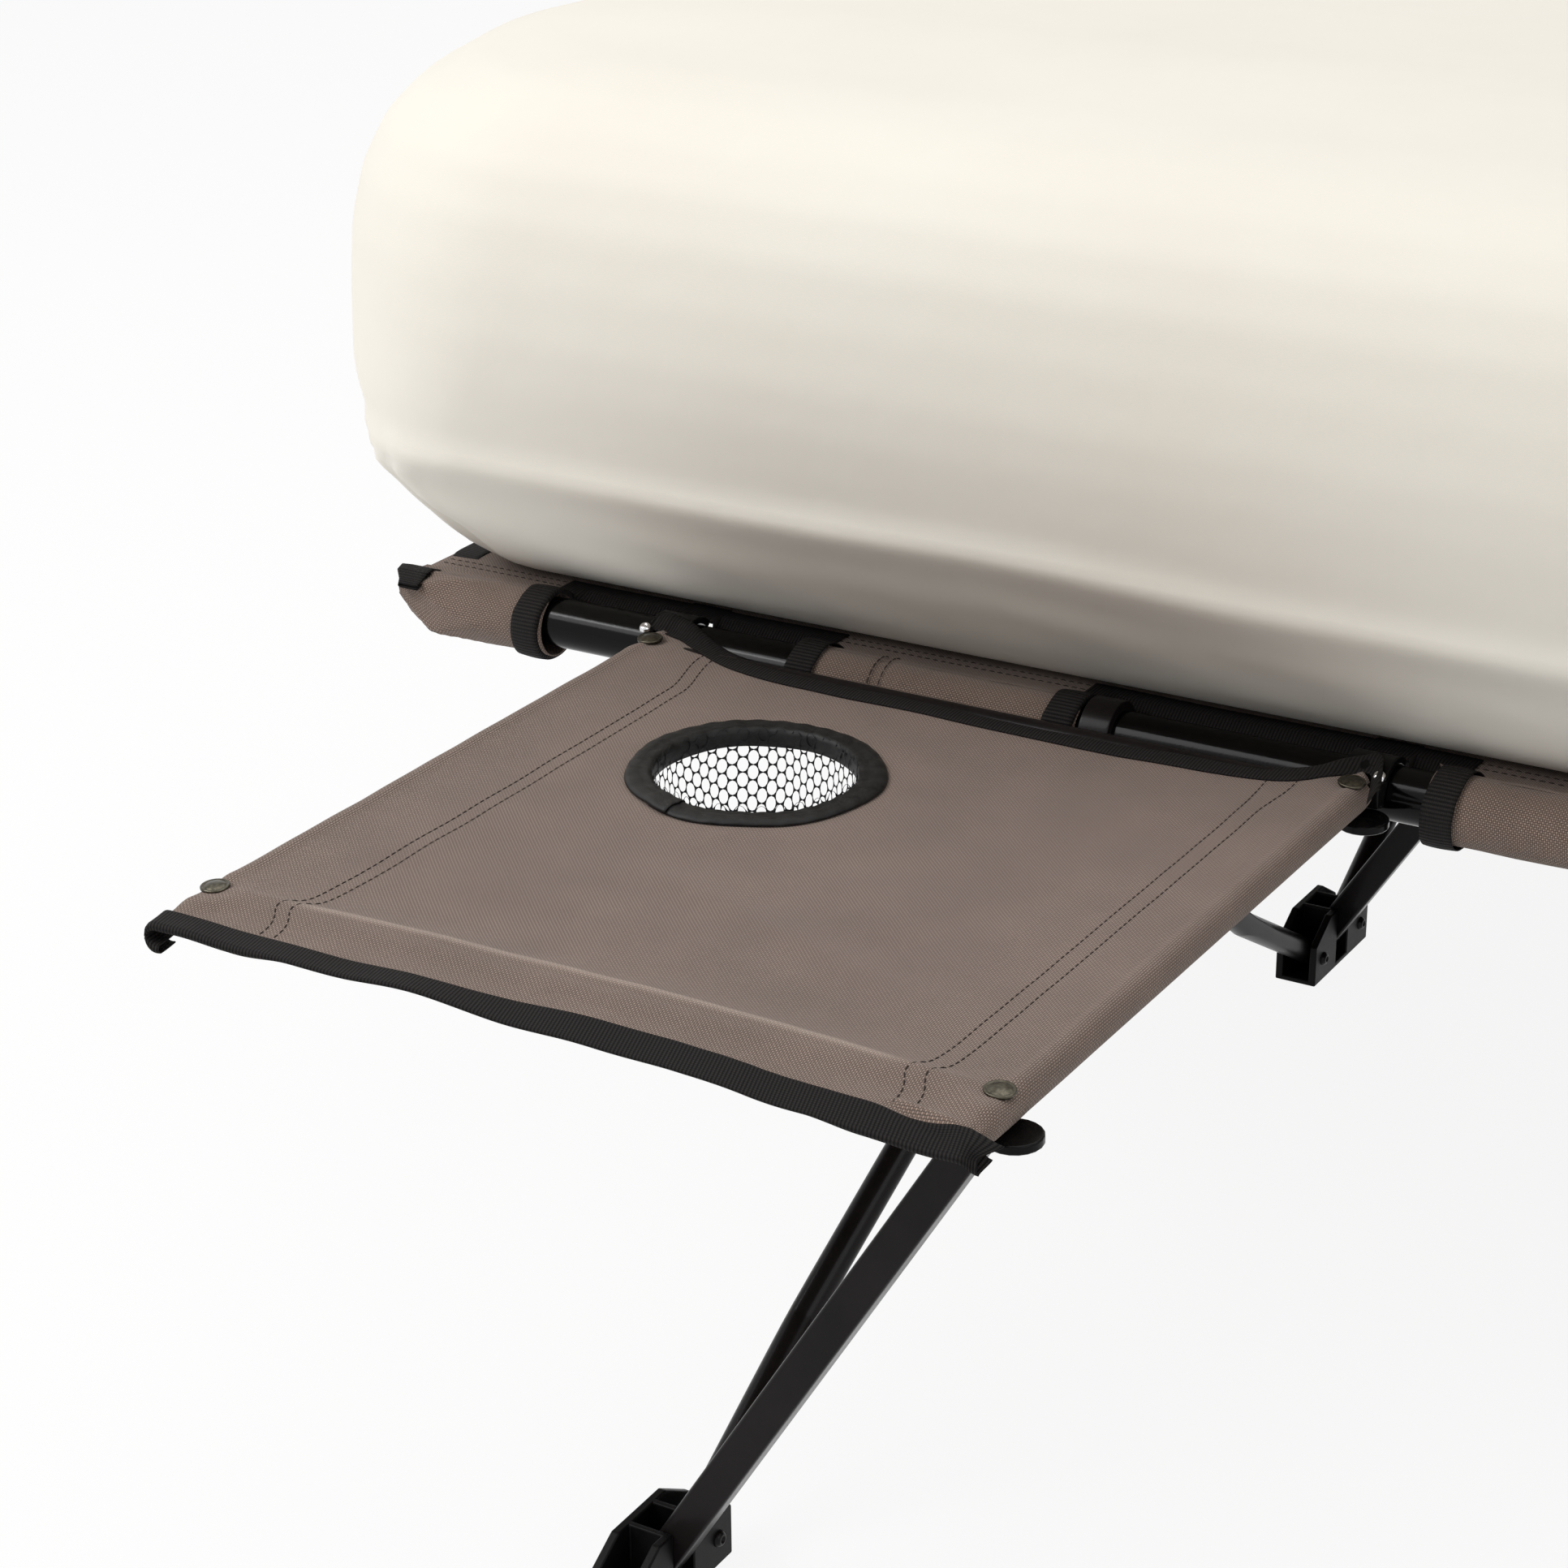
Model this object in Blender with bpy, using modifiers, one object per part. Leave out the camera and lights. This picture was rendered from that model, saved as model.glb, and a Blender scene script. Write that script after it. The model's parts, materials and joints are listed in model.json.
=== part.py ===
"""A double camping cot with a clip-on side table and an airbed in a fitted sheet.

Two long side rails carry a stretched fabric deck. Cross bars hold the rails apart, and three
W-shaped leg frames hinge on cross bars of their own, each held open by two square braces. The side
table hooks over the near rail at the head end and stands on a leg with a brace of its own.

Metres, +Z up, +X from head to foot. The origin lies on the floor under the middle of the whole.
"""

import math

import bmesh
import bpy
from mathutils import Matrix, Vector

# Frame
DECK_HEIGHT = 0.288
RAIL_SPACING = 1.444
DECK_LENGTH = 1.880
RAIL_END_INSET = 0.018
RAIL_RADIUS = 0.0127
BAR_RADIUS = 0.008
STATION_INSET = 0.354
GAP = 0.0003

# Legs
LEG_RADIUS = 0.0075
BRACE_SIDE = 0.015
BRACE_REACH = 0.166
FOOT_ROW_INSET = 0.370
FOOT_LENGTH = 0.076
FOOT_WALL = 0.0042
FOOT_FLOOR = 0.003
FOOT_END_HEIGHT = 0.024
FOOT_PEAK_HEIGHT = 0.036
FOOT_PEAK_HALF = 0.018
CHEEK_WALL = 0.003
LEG_BEND_REACH = 0.118
LEG_BEND_HEIGHT = 0.0693
LEG_MOUTH_HEIGHT = 0.0225
LEG_END_INSIDE = 0.018
LEG_TOP_DROP = 0.030
LEG_BEND_RADIUS = 0.045
COLLAR_WALL = 0.004
COLLAR_LENGTH = 0.020
TABLE_EYE_LENGTH = 0.015
WELD_DEPTH = 0.0005
CENTRE_TUBE_OFFSET = 0.0125
COLLAR_INSET = 0.026

# Fabric deck and its rail sleeves
DECK_THICKNESS = 0.0015
SLEEVE_WALL = 0.0015
FIRST_SLEEVE_TO_HOOK = 0.071
HOOK_TO_TABLE_SLEEVE = 0.068
TABLE_SLEEVE_TO_EYE = 0.0025
HOOK_TO_LAST_SLEEVE = 0.029
SLEEVE_END_INSET = 0.001
DECK_SETBACK = 0.002
END_BAR_INSET = 0.034

# Side table
TABLE_WIDTH = 0.360
TABLE_DEPTH = 0.330
TABLE_SETBACK = 0.026
TABLE_FLAP = 0.048
TABLE_BACK_EDGE = 0.004
TABLE_TUBE_RADIUS = 0.0065
TABLE_TUBE_FRONT = 0.014
TABLE_FABRIC = 0.0008
TABLE_FOOT_INSET = 0.022
TABLE_LEG_SHIFT = 0.036
HOOK_WIDTH = 0.021
HOOK_WALL = 0.0035
HOOK_STEM = 0.0045
HOOK_INBOARD_END = 40
HOOK_OUTBOARD_END = 187
RIVET_RADIUS = 0.00625
RIVET_HEIGHT = 0.0018
DISC_RADIUS = 0.0115
DISC_THICKNESS = 0.004
DISC_OUTWARD = 0.006
RING_OUTER_RADIUS = 0.0576
RING_INNER_RADIUS = 0.0441
RING_THICKNESS = 0.0018
CUP_FROM_LEFT = 0.123
CUP_FROM_FRONT = 0.223
POCKET_DEPTH = 0.062
POCKET_WALL = 0.0012
POCKET_BASE_RADIUS = 0.031
POCKET_FLANGE = 0.0095

# Airbed in its sheet
BED_LENGTH = 2.000
BED_WIDTH = 1.576
BED_THICKNESS = 0.272
BED_SKIN = 0.005
BED_CORNER_POWER = 14.0
BED_CUTS = 4
BED_EDGE_BIAS = 0.55
VALVE_RADIUS = 0.020
VALVE_HEIGHT = 0.120
VALVE_ASIDE = 0.450

# Places that follow from the sizes above
BED_Y = (RAIL_SPACING / 2 + TABLE_SETBACK + TABLE_DEPTH + TABLE_FLAP - BED_WIDTH / 2) / 2
NEAR_RAIL_Y = BED_Y - RAIL_SPACING / 2
FAR_RAIL_Y = BED_Y + RAIL_SPACING / 2
RAIL_Z = DECK_HEIGHT - RAIL_RADIUS
HEAD_X = -DECK_LENGTH / 2
HEAD_STATION_X = HEAD_X + STATION_INSET
BRACE_PIVOT_Z = FOOT_FLOOR + BRACE_SIDE / 2 + 0.002
STATIONS = {
    "head": (HEAD_STATION_X, 1),
    "middle": (0.0, 1),
    "foot": (-HEAD_STATION_X, -1),
}
SLEEVE_INNER = RAIL_RADIUS + GAP
SLEEVE_OUTER = SLEEVE_INNER + SLEEVE_WALL
COLLAR_INNER = BAR_RADIUS + GAP
COLLAR_OUTER = COLLAR_INNER + COLLAR_WALL
HINGE_Z = RAIL_Z + BAR_RADIUS - COLLAR_OUTER
FOOT_WIDTH = 2 * (LEG_RADIUS + GAP + FOOT_WALL)
TABLE_RIGHT_X = HEAD_STATION_X + BRACE_REACH
TABLE_LEFT_X = TABLE_RIGHT_X - TABLE_WIDTH
TABLE_EYE_X = HEAD_STATION_X + TABLE_LEG_SHIFT
TABLE_MID_X = (TABLE_LEFT_X + TABLE_RIGHT_X) / 2
TABLE_BACK_Y = NEAR_RAIL_Y - TABLE_SETBACK
TABLE_FRONT_Y = TABLE_BACK_Y - TABLE_DEPTH
TABLE_TUBE_Z = DECK_HEIGHT - TABLE_FABRIC - GAP - TABLE_TUBE_RADIUS
WRAP_INNER = TABLE_TUBE_RADIUS + GAP
WRAP_OUTER = WRAP_INNER + TABLE_FABRIC
HOOK_INNER = RAIL_RADIUS + GAP
HOOK_OUTER = HOOK_INNER + HOOK_WALL
CUP_X = TABLE_LEFT_X + CUP_FROM_LEFT
CUP_Y = TABLE_FRONT_Y + CUP_FROM_FRONT
DECK_BOTTOM = RAIL_Z + BAR_RADIUS + GAP
DECK_TOP = DECK_BOTTOM + DECK_THICKNESS

CUT_MARGIN = 0.01
FACING_X = (math.pi / 2, 0, math.pi / 2)

COLOURS = {
    "black_tube": ((0.012, 0.011, 0.011), 0.28, 0.3),
    "dark_plastic": ((0.014, 0.014, 0.014), 0.45, 0.0),
    "taupe_fabric": ((0.205, 0.150, 0.122), 0.9, 0.0),
    "black_mesh": ((0.010, 0.010, 0.011), 0.8, 0.0),
    "black_tape": ((0.013, 0.012, 0.013), 0.5, 0.0),
    "antique_brass": ((0.12, 0.10, 0.075), 0.35, 1.0),
    "cream_sheet": ((0.76, 0.70, 0.60), 0.85, 0.0),
}


def clear_scene():
    for obj in list(bpy.data.objects):
        bpy.data.objects.remove(obj)


def make_collection(name):
    collection = bpy.data.collections.new(name)
    bpy.context.scene.collection.children.link(collection)
    return collection


def make_materials():
    made = {}
    for name, (colour, roughness, metallic) in COLOURS.items():
        material = bpy.data.materials.new(name)
        material.use_nodes = True
        shader = material.node_tree.nodes["Principled BSDF"]
        shader.inputs["Base Color"].default_value = (*colour, 1.0)
        shader.inputs["Roughness"].default_value = roughness
        shader.inputs["Metallic"].default_value = metallic
        made[name] = material
    return made


def finish(obj, material):
    """Gives an object its material and links it with the parts."""
    obj.data.materials.clear()
    obj.data.materials.append(MATERIALS[material])
    PARTS.objects.link(obj)
    return obj


def shade(mesh, angle=35.0):
    mesh.shade_smooth()
    mesh.set_sharp_from_angle(angle=math.radians(angle))


def mesh_object(name, bm, material, smooth=True):
    mesh = bpy.data.meshes.new(name)
    bm.to_mesh(mesh)
    bm.free()
    if smooth:
        shade(mesh)
    return finish(bpy.data.objects.new(name, mesh), material)


def tube(name, points, radius, material, sides=4):
    """A round bar along a polyline, with flat ends."""
    curve = bpy.data.curves.new(name, "CURVE")
    curve.dimensions = "3D"
    curve.bevel_depth = radius
    curve.bevel_resolution = sides
    curve.use_fill_caps = True
    spline = curve.splines.new("POLY")
    spline.points.add(len(points) - 1)
    for place, point in zip(spline.points, points):
        place.co = (*point, 1.0)
    return finish(bpy.data.objects.new(name, curve), material)


def rounded_route(corners, radius, steps=4):
    """The corners of a route joined by straight runs, with an arc at each inner corner."""
    corners = [Vector(corner) for corner in corners]
    route = [corners[0]]
    for before, corner, after in zip(corners, corners[1:], corners[2:]):
        back = (before - corner).normalized()
        ahead = (after - corner).normalized()
        half = back.angle(ahead) / 2
        longest = 0.45 * min((before - corner).length, (after - corner).length)
        setback = min(radius / math.tan(half), longest)
        middle = (back + ahead).normalized() * (setback / math.cos(half))
        centre = corner + middle
        start = corner + back * setback - centre
        end = corner + ahead * setback - centre
        for step in range(steps + 1):
            arm = start.normalized().slerp(end.normalized(), step / steps)
            route.append(centre + arm * start.length)
    route.append(corners[-1])
    return route


def turned(name, profile, place, material, steps, rotation=(0, 0, 0)):
    """A closed profile of radius and height, run down its outer side first, turned about Z."""
    bm = bmesh.new()
    points = [bm.verts.new((radius, 0.0, height)) for radius, height in profile]
    for first, second in zip(points, points[1:] + points[:1]):
        bm.edges.new((first, second))
    mesh = bpy.data.meshes.new(name)
    bm.to_mesh(mesh)
    bm.free()
    obj = finish(bpy.data.objects.new(name, mesh), material)
    obj.location = place
    obj.rotation_euler = rotation
    screw = obj.modifiers.new("turn", "SCREW")
    screw.steps = steps
    screw.render_steps = steps
    screw.use_merge_vertices = True
    screw.merge_threshold = 0.00001
    return obj


def collar(name, inner, outer, length, place, axis, material, steps=20):
    """A plain ring round the X or the Y axis, given by its middle."""
    half = length / 2
    profile = [(inner, half), (outer, half), (outer, -half), (inner, -half)]
    rotation = {"X": (0, math.pi / 2, 0), "Y": (-math.pi / 2, 0, 0)}[axis]
    return turned(name, profile, place, material, steps, rotation)


def outline(name, points, thickness, material):
    """A flat outline in the XZ plane, drawn about the origin and given a thickness along Y."""
    curve = bpy.data.curves.new(name, "CURVE")
    curve.dimensions = "2D"
    curve.fill_mode = "BOTH"
    curve.extrude = thickness / 2
    spline = curve.splines.new("POLY")
    spline.points.add(len(points) - 1)
    for place, (across, up) in zip(spline.points, points):
        place.co = (across, up, 0.0, 1.0)
    spline.use_cyclic_u = True
    obj = finish(bpy.data.objects.new(name, curve), material)
    obj.rotation_euler = (math.pi / 2, 0, 0)
    return obj


def arc(centre, radius, first, last, steps):
    """Points of an arc from one angle to another, in degrees."""
    found = []
    for step in range(steps + 1):
        angle = math.radians(first + (last - first) * step / steps)
        found.append((centre[0] + radius * math.cos(angle), centre[1] + radius * math.sin(angle)))
    return found


def to_mesh(obj):
    """The object as one welded mesh in world space, under the same name."""
    bpy.context.view_layer.update()
    evaluated = obj.evaluated_get(bpy.context.evaluated_depsgraph_get())
    mesh = bpy.data.meshes.new_from_object(evaluated)
    mesh.transform(obj.matrix_world)
    name = obj.name
    material = obj.data.materials[0].name
    bpy.data.objects.remove(obj)
    bm = bmesh.new()
    bm.from_mesh(mesh)
    bpy.data.meshes.remove(mesh)
    bmesh.ops.remove_doubles(bm, verts=bm.verts, dist=0.00001)
    return mesh_object(name, bm, material)


def box_mesh(low, high):
    bm = bmesh.new()
    bmesh.ops.create_cube(bm, size=1.0)
    size = Vector(high) - Vector(low)
    middle = (Vector(high) + Vector(low)) / 2
    bmesh.ops.scale(bm, vec=size, verts=bm.verts)
    bmesh.ops.translate(bm, vec=middle, verts=bm.verts)
    return bm


def cut(obj, bm, name):
    """Takes a cutter, given as a bmesh in world space, out of the object."""
    mesh = bpy.data.meshes.new(name)
    bm.to_mesh(mesh)
    bm.free()
    cutter = bpy.data.objects.new(name, mesh)
    cutter.hide_render = True
    cutter.display_type = "WIRE"
    CUTTERS.objects.link(cutter)
    boolean = obj.modifiers.new(name, "BOOLEAN")
    boolean.operation = "DIFFERENCE"
    boolean.solver = "EXACT"
    boolean.object = cutter
    return cutter


def join(obj, other):
    """Welds another object, which overlaps it, into the object."""
    PARTS.objects.unlink(other)
    CUTTERS.objects.link(other)
    other.hide_render = True
    other.display_type = "WIRE"
    boolean = obj.modifiers.new(other.name, "BOOLEAN")
    boolean.operation = "UNION"
    boolean.solver = "EXACT"
    boolean.object = other


def disc(name, seat, radius, height, material, top_ratio=1.0, segments=20):
    """A low round piece, given by the middle of its underside."""
    bm = bmesh.new()
    bmesh.ops.create_cone(
        bm,
        cap_ends=True,
        segments=segments,
        radius1=radius,
        radius2=radius * top_ratio,
        depth=height,
        matrix=Matrix.Translation(Vector(seat) + Vector((0, 0, height / 2))),
    )
    return mesh_object(name, bm, material)


def make_rails():
    head_end = HEAD_X + RAIL_END_INSET
    for side, y in (("near", NEAR_RAIL_Y), ("far", FAR_RAIL_Y)):
        ends = [(head_end, y, RAIL_Z), (-head_end, y, RAIL_Z)]
        tube(f"{side}_side_rail", ends, RAIL_RADIUS, "black_tube", sides=6)


def sleeve_spans():
    """Where the deck's sleeves cover a rail, as stretches along X."""
    before_eye = TABLE_EYE_X - TABLE_EYE_LENGTH / 2 - TABLE_SLEEVE_TO_EYE
    return [
        (HEAD_X + SLEEVE_END_INSET, TABLE_LEFT_X - FIRST_SLEEVE_TO_HOOK),
        (TABLE_LEFT_X + HOOK_TO_TABLE_SLEEVE, before_eye),
        (TABLE_RIGHT_X + HOOK_TO_LAST_SLEEVE, -HEAD_X - SLEEVE_END_INSET),
    ]


def rail_face(x, side):
    """How far from a rail's axis a cross bar ends: at the bare rail, or at what wraps it there."""
    if any(low - BAR_RADIUS < x < high + BAR_RADIUS for low, high in sleeve_spans()):
        return SLEEVE_OUTER + GAP
    hooks = (TABLE_LEFT_X, TABLE_RIGHT_X) if side == "near" else ()
    if any(abs(x - hook) < HOOK_WIDTH / 2 + BAR_RADIUS for hook in hooks):
        return HOOK_OUTER + GAP
    return RAIL_RADIUS + GAP


def cross_bar(name, x, z):
    near = NEAR_RAIL_Y + rail_face(x, "near")
    far = FAR_RAIL_Y - rail_face(x, "far")
    tube(name, [(x, near, z), (x, far, z)], BAR_RADIUS, "black_tube")


def make_cross_bars():
    cross_bar("head_end_bar", HEAD_X + END_BAR_INSET, RAIL_Z)
    cross_bar("foot_end_bar", -HEAD_X - END_BAR_INSET, RAIL_Z)
    for station, (x, side) in STATIONS.items():
        cross_bar(f"{station}_hinge_bar", x, HINGE_Z)
        cross_bar(f"{station}_brace_bar", x + side * BRACE_REACH, RAIL_Z)


def make_deck():
    """The fabric deck: a stretched sheet sewn to the sleeves that hold it on the rails."""
    inset = math.sqrt((SLEEVE_INNER + SLEEVE_OUTER) ** 2 / 4 - (DECK_BOTTOM - RAIL_Z) ** 2)
    inset -= DECK_THICKNESS / 2
    low = (HEAD_X + SLEEVE_END_INSET, NEAR_RAIL_Y + inset, DECK_BOTTOM)
    high = (-HEAD_X - SLEEVE_END_INSET, FAR_RAIL_Y - inset, DECK_TOP)
    deck = mesh_object("deck_fabric", box_mesh(low, high), "taupe_fabric", smooth=False)
    spans = sleeve_spans()
    for side, y, way in (("near", NEAR_RAIL_Y, 1), ("far", FAR_RAIL_Y, -1)):
        for number, (start, end) in enumerate(spans, start=1):
            middle = ((start + end) / 2, y, RAIL_Z)
            sleeve = collar(
                f"{side}_sleeve_{number}",
                SLEEVE_INNER,
                SLEEVE_OUTER,
                end - start,
                middle,
                "X",
                "taupe_fabric",
                steps=24,
            )
            join(deck, sleeve)
        for number, (before, after) in enumerate(zip(spans, spans[1:]), start=1):
            edges = sorted((y - way * RAIL_RADIUS, y + way * (HOOK_OUTER + DECK_SETBACK)))
            corner = (before[1], edges[0], DECK_BOTTOM - RAIL_RADIUS)
            opposite = (after[0], edges[1], DECK_TOP + RAIL_RADIUS)
            cut(deck, box_mesh(corner, opposite), f"{side}_bare_rail_{number}")


def make_foot(name, x, y, side):
    """A trough along Y that takes the leg tubes, notched on the side that the brace leans to."""
    half = FOOT_LENGTH / 2
    profile = [
        (-half, 0.0),
        (half, 0.0),
        (half, FOOT_END_HEIGHT),
        (FOOT_PEAK_HALF, FOOT_PEAK_HEIGHT),
        (-FOOT_PEAK_HALF, FOOT_PEAK_HEIGHT),
        (-half, FOOT_END_HEIGHT),
    ]
    block = outline(name, profile, FOOT_WIDTH, "dark_plastic")
    block.rotation_euler = FACING_X
    block.location = (x, y, 0)
    block = to_mesh(block)
    inside = LEG_RADIUS + GAP
    notch = BRACE_SIDE / 2 + GAP
    above = FOOT_PEAK_HEIGHT + CUT_MARGIN
    beyond = half + CUT_MARGIN
    near = (-beyond, -notch - CHEEK_WALL)
    far = (notch + CHEEK_WALL, beyond)
    for end, span in (("near", near), ("far", far)):
        low = (x - inside, y + span[0], FOOT_FLOOR)
        high = (x + inside, y + span[1], above)
        cut(block, box_mesh(low, high), f"{name}_{end}_trough")
    outside = side * (FOOT_WIDTH / 2 + CUT_MARGIN)
    low = (x + min(outside, -side * inside), y - notch, FOOT_FLOOR)
    high = (x + max(outside, -side * inside), y + notch, above)
    cut(block, box_mesh(low, high), f"{name}_notch")


def leg_corners(x, foot_y, top_y, top_z, top_x=None):
    """A leg tube's corners: down from its top, out to the bend, and flatter into the foot."""
    top_x = x if top_x is None else top_x
    way = 1 if top_y > foot_y else -1
    half = FOOT_LENGTH / 2
    fall = (LEG_BEND_HEIGHT - LEG_MOUTH_HEIGHT) / (LEG_BEND_REACH - half)
    end_height = LEG_MOUTH_HEIGHT - fall * (half - LEG_END_INSIDE)
    return [
        (top_x, top_y, top_z),
        (top_x, top_y, top_z - LEG_TOP_DROP + COLLAR_OUTER),
        (x, foot_y + way * LEG_BEND_REACH, LEG_BEND_HEIGHT),
        (x, foot_y + way * LEG_END_INSIDE, end_height),
    ]


def brace_outline(side, reach, bar_bottom):
    """A square bar from its rounded foot end to a level cut under the bar that it holds up."""
    axis = Vector((side * reach, RAIL_Z - BRACE_PIVOT_Z)).normalized()
    across = Vector((-axis.y, axis.x)) * BRACE_SIDE / 2
    rise = bar_bottom - BRACE_PIVOT_Z
    first = math.degrees(math.atan2(across.y, across.x))
    points = arc((0.0, 0.0), BRACE_SIDE / 2, first, first + 180, 8)
    for edge in (-across, across):
        along = (rise - edge.y) / axis.y
        points.append((edge.x + axis.x * along, rise))
    return points


def make_brace(name, x, y, side, bar_bottom):
    points = brace_outline(side, BRACE_REACH, bar_bottom)
    bar = outline(name, points, BRACE_SIDE, "black_tube")
    bar.location = (x, y, BRACE_PIVOT_Z)


def make_leg(name, corners, eye):
    """A bent leg tube welded to the eye that it hangs by."""
    leg = to_mesh(tube(name, rounded_route(corners, LEG_BEND_RADIUS), LEG_RADIUS, "black_tube", 3))
    join(leg, eye)


def make_station(station, x, side):
    """A W-shaped leg frame with its feet and braces."""
    near_row = NEAR_RAIL_Y + FOOT_ROW_INSET
    far_row = FAR_RAIL_Y - FOOT_ROW_INSET
    tops = {
        "near_outer": (near_row, NEAR_RAIL_Y + COLLAR_INSET),
        "near_inner": (near_row, BED_Y - CENTRE_TUBE_OFFSET),
        "far_inner": (far_row, BED_Y + CENTRE_TUBE_OFFSET),
        "far_outer": (far_row, FAR_RAIL_Y - COLLAR_INSET),
    }
    top_z = HINGE_Z - COLLAR_INNER - WELD_DEPTH
    for place, (foot_y, top_y) in tops.items():
        name = f"{station}_leg_{place}"
        middle = (x, top_y, HINGE_Z)
        eye = collar(
            f"{name}_eye", COLLAR_INNER, COLLAR_OUTER, COLLAR_LENGTH, middle, "Y", "black_tube"
        )
        make_leg(name, leg_corners(x, foot_y, top_y, top_z), eye)
    bar_bottom = RAIL_Z - BAR_RADIUS - GAP
    for row, y in (("near", near_row), ("far", far_row)):
        make_foot(f"{station}_{row}_foot", x, y, side)
        make_brace(f"{station}_{row}_brace", x, y, side, bar_bottom)


def make_table_leg():
    """The table's own leg: a tube that hangs on the rail by its eye, with its foot and brace."""
    x = HEAD_STATION_X
    y = TABLE_FRONT_Y + TABLE_FOOT_INSET
    inner = RAIL_RADIUS + GAP
    middle = (TABLE_EYE_X, NEAR_RAIL_Y, RAIL_Z)
    eye = collar(
        "table_leg_eye", inner, inner + COLLAR_WALL, TABLE_EYE_LENGTH, middle, "X", "black_tube"
    )
    corners = leg_corners(x, y, NEAR_RAIL_Y, RAIL_Z - inner - WELD_DEPTH, top_x=TABLE_EYE_X)
    make_leg("table_leg", corners, eye)
    make_foot("table_leg_foot", x, y, 1)
    make_brace("table_leg_brace", x, y, 1, TABLE_TUBE_Z - WRAP_OUTER - GAP)


def make_table_frame():
    back = NEAR_RAIL_Y - HOOK_OUTER - HOOK_STEM - GAP
    for side, x in (("left", TABLE_LEFT_X), ("right", TABLE_RIGHT_X)):
        ends = [(x, TABLE_FRONT_Y - TABLE_TUBE_FRONT, TABLE_TUBE_Z), (x, back, TABLE_TUBE_Z)]
        tube(f"table_tube_{side}", ends, TABLE_TUBE_RADIUS, "black_tube")
    bars = (("front", TABLE_FRONT_Y, TABLE_TUBE_RADIUS), ("back", TABLE_BACK_Y, HOOK_WIDTH / 2))
    for side, y, clear in bars:
        low = TABLE_LEFT_X + clear + GAP
        high = TABLE_RIGHT_X - clear - GAP
        ends = [(low, y, TABLE_TUBE_Z), (high, y, TABLE_TUBE_Z)]
        tube(f"table_bar_{side}", ends, TABLE_TUBE_RADIUS, "black_tube")


def hook_outline():
    """A clip over the rail, open below, with a stem towards the table tube."""
    stem_low = TABLE_TUBE_Z - RAIL_Z - TABLE_TUBE_RADIUS + 0.001
    stem_high = TABLE_TUBE_Z - RAIL_Z + TABLE_TUBE_RADIUS - 0.001
    low_angle = 180 - math.degrees(math.asin(stem_low / HOOK_OUTER))
    high_angle = 180 - math.degrees(math.asin(stem_high / HOOK_OUTER))
    points = arc((0, 0), HOOK_OUTER, HOOK_INBOARD_END, high_angle, 10)
    points += [(-HOOK_OUTER - HOOK_STEM, stem_high), (-HOOK_OUTER - HOOK_STEM, stem_low)]
    points += arc((0, 0), HOOK_OUTER, low_angle, HOOK_OUTBOARD_END, 1)
    points += arc((0, 0), HOOK_INNER, HOOK_OUTBOARD_END, HOOK_INBOARD_END, 14)
    return points


def make_hooks():
    for side, x in (("left", TABLE_LEFT_X), ("right", TABLE_RIGHT_X)):
        hook = outline(f"table_hook_{side}", hook_outline(), HOOK_WIDTH, "dark_plastic")
        hook.rotation_euler = FACING_X
        hook.location = (x, NEAR_RAIL_Y, RAIL_Z)


def make_table_top():
    """The table's fabric: a flat panel whose side hems wrap the two side tubes."""
    left = (TABLE_LEFT_X - TABLE_MID_X, 0.0)
    right = (TABLE_RIGHT_X - TABLE_MID_X, 0.0)
    points = arc(right, WRAP_OUTER, 90, -90, 10) + arc(right, WRAP_INNER, -90, 90, 10)
    points += arc(left, WRAP_INNER, 90, 270, 10) + arc(left, WRAP_OUTER, 270, 90, 10)
    front = TABLE_FRONT_Y - TABLE_FLAP
    back = TABLE_BACK_Y + TABLE_BACK_EDGE
    top = outline("table_top", points, back - front, "taupe_fabric")
    top.location = (TABLE_MID_X, (front + back) / 2, TABLE_TUBE_Z)
    top = to_mesh(top)
    bm = bmesh.new()
    place = Matrix.Translation((CUP_X, CUP_Y, DECK_HEIGHT))
    bmesh.ops.create_cone(
        bm,
        cap_ends=True,
        segments=40,
        radius1=RING_INNER_RADIUS,
        radius2=RING_INNER_RADIUS,
        depth=0.01,
        matrix=place,
    )
    cut(top, bm, "cup_hole")


def make_cup_holder():
    """The bound ring on top of the hole, and the net pocket hung from a flange below it."""
    low = GAP
    high = GAP + RING_THICKNESS
    ring = [
        (RING_INNER_RADIUS, high),
        (RING_OUTER_RADIUS, high),
        (RING_OUTER_RADIUS, low),
        (RING_INNER_RADIUS, low),
    ]
    turned("cup_ring", ring, (CUP_X, CUP_Y, DECK_HEIGHT), "black_tape", steps=40)
    top = -TABLE_FABRIC - GAP
    side = []
    for step in range(7):
        share = step / 6
        bend = math.sin(share * math.pi / 2)
        radius = RING_INNER_RADIUS - (RING_INNER_RADIUS - POCKET_BASE_RADIUS) * share**2.2
        side.append((radius, top - POCKET_WALL - (POCKET_DEPTH - POCKET_WALL) * bend))
    floor = top - POCKET_DEPTH
    outer = [(RING_INNER_RADIUS + POCKET_FLANGE, top), (RING_INNER_RADIUS + POCKET_FLANGE, side[0][1])]
    outer += side + [(0.0, floor)]
    inner = [(0.0, floor + POCKET_WALL)]
    inner += [(radius - POCKET_WALL, height + POCKET_WALL) for radius, height in reversed(side)]
    turned("cup_pocket", outer + inner, (CUP_X, CUP_Y, DECK_HEIGHT), "black_mesh", steps=24)


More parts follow.
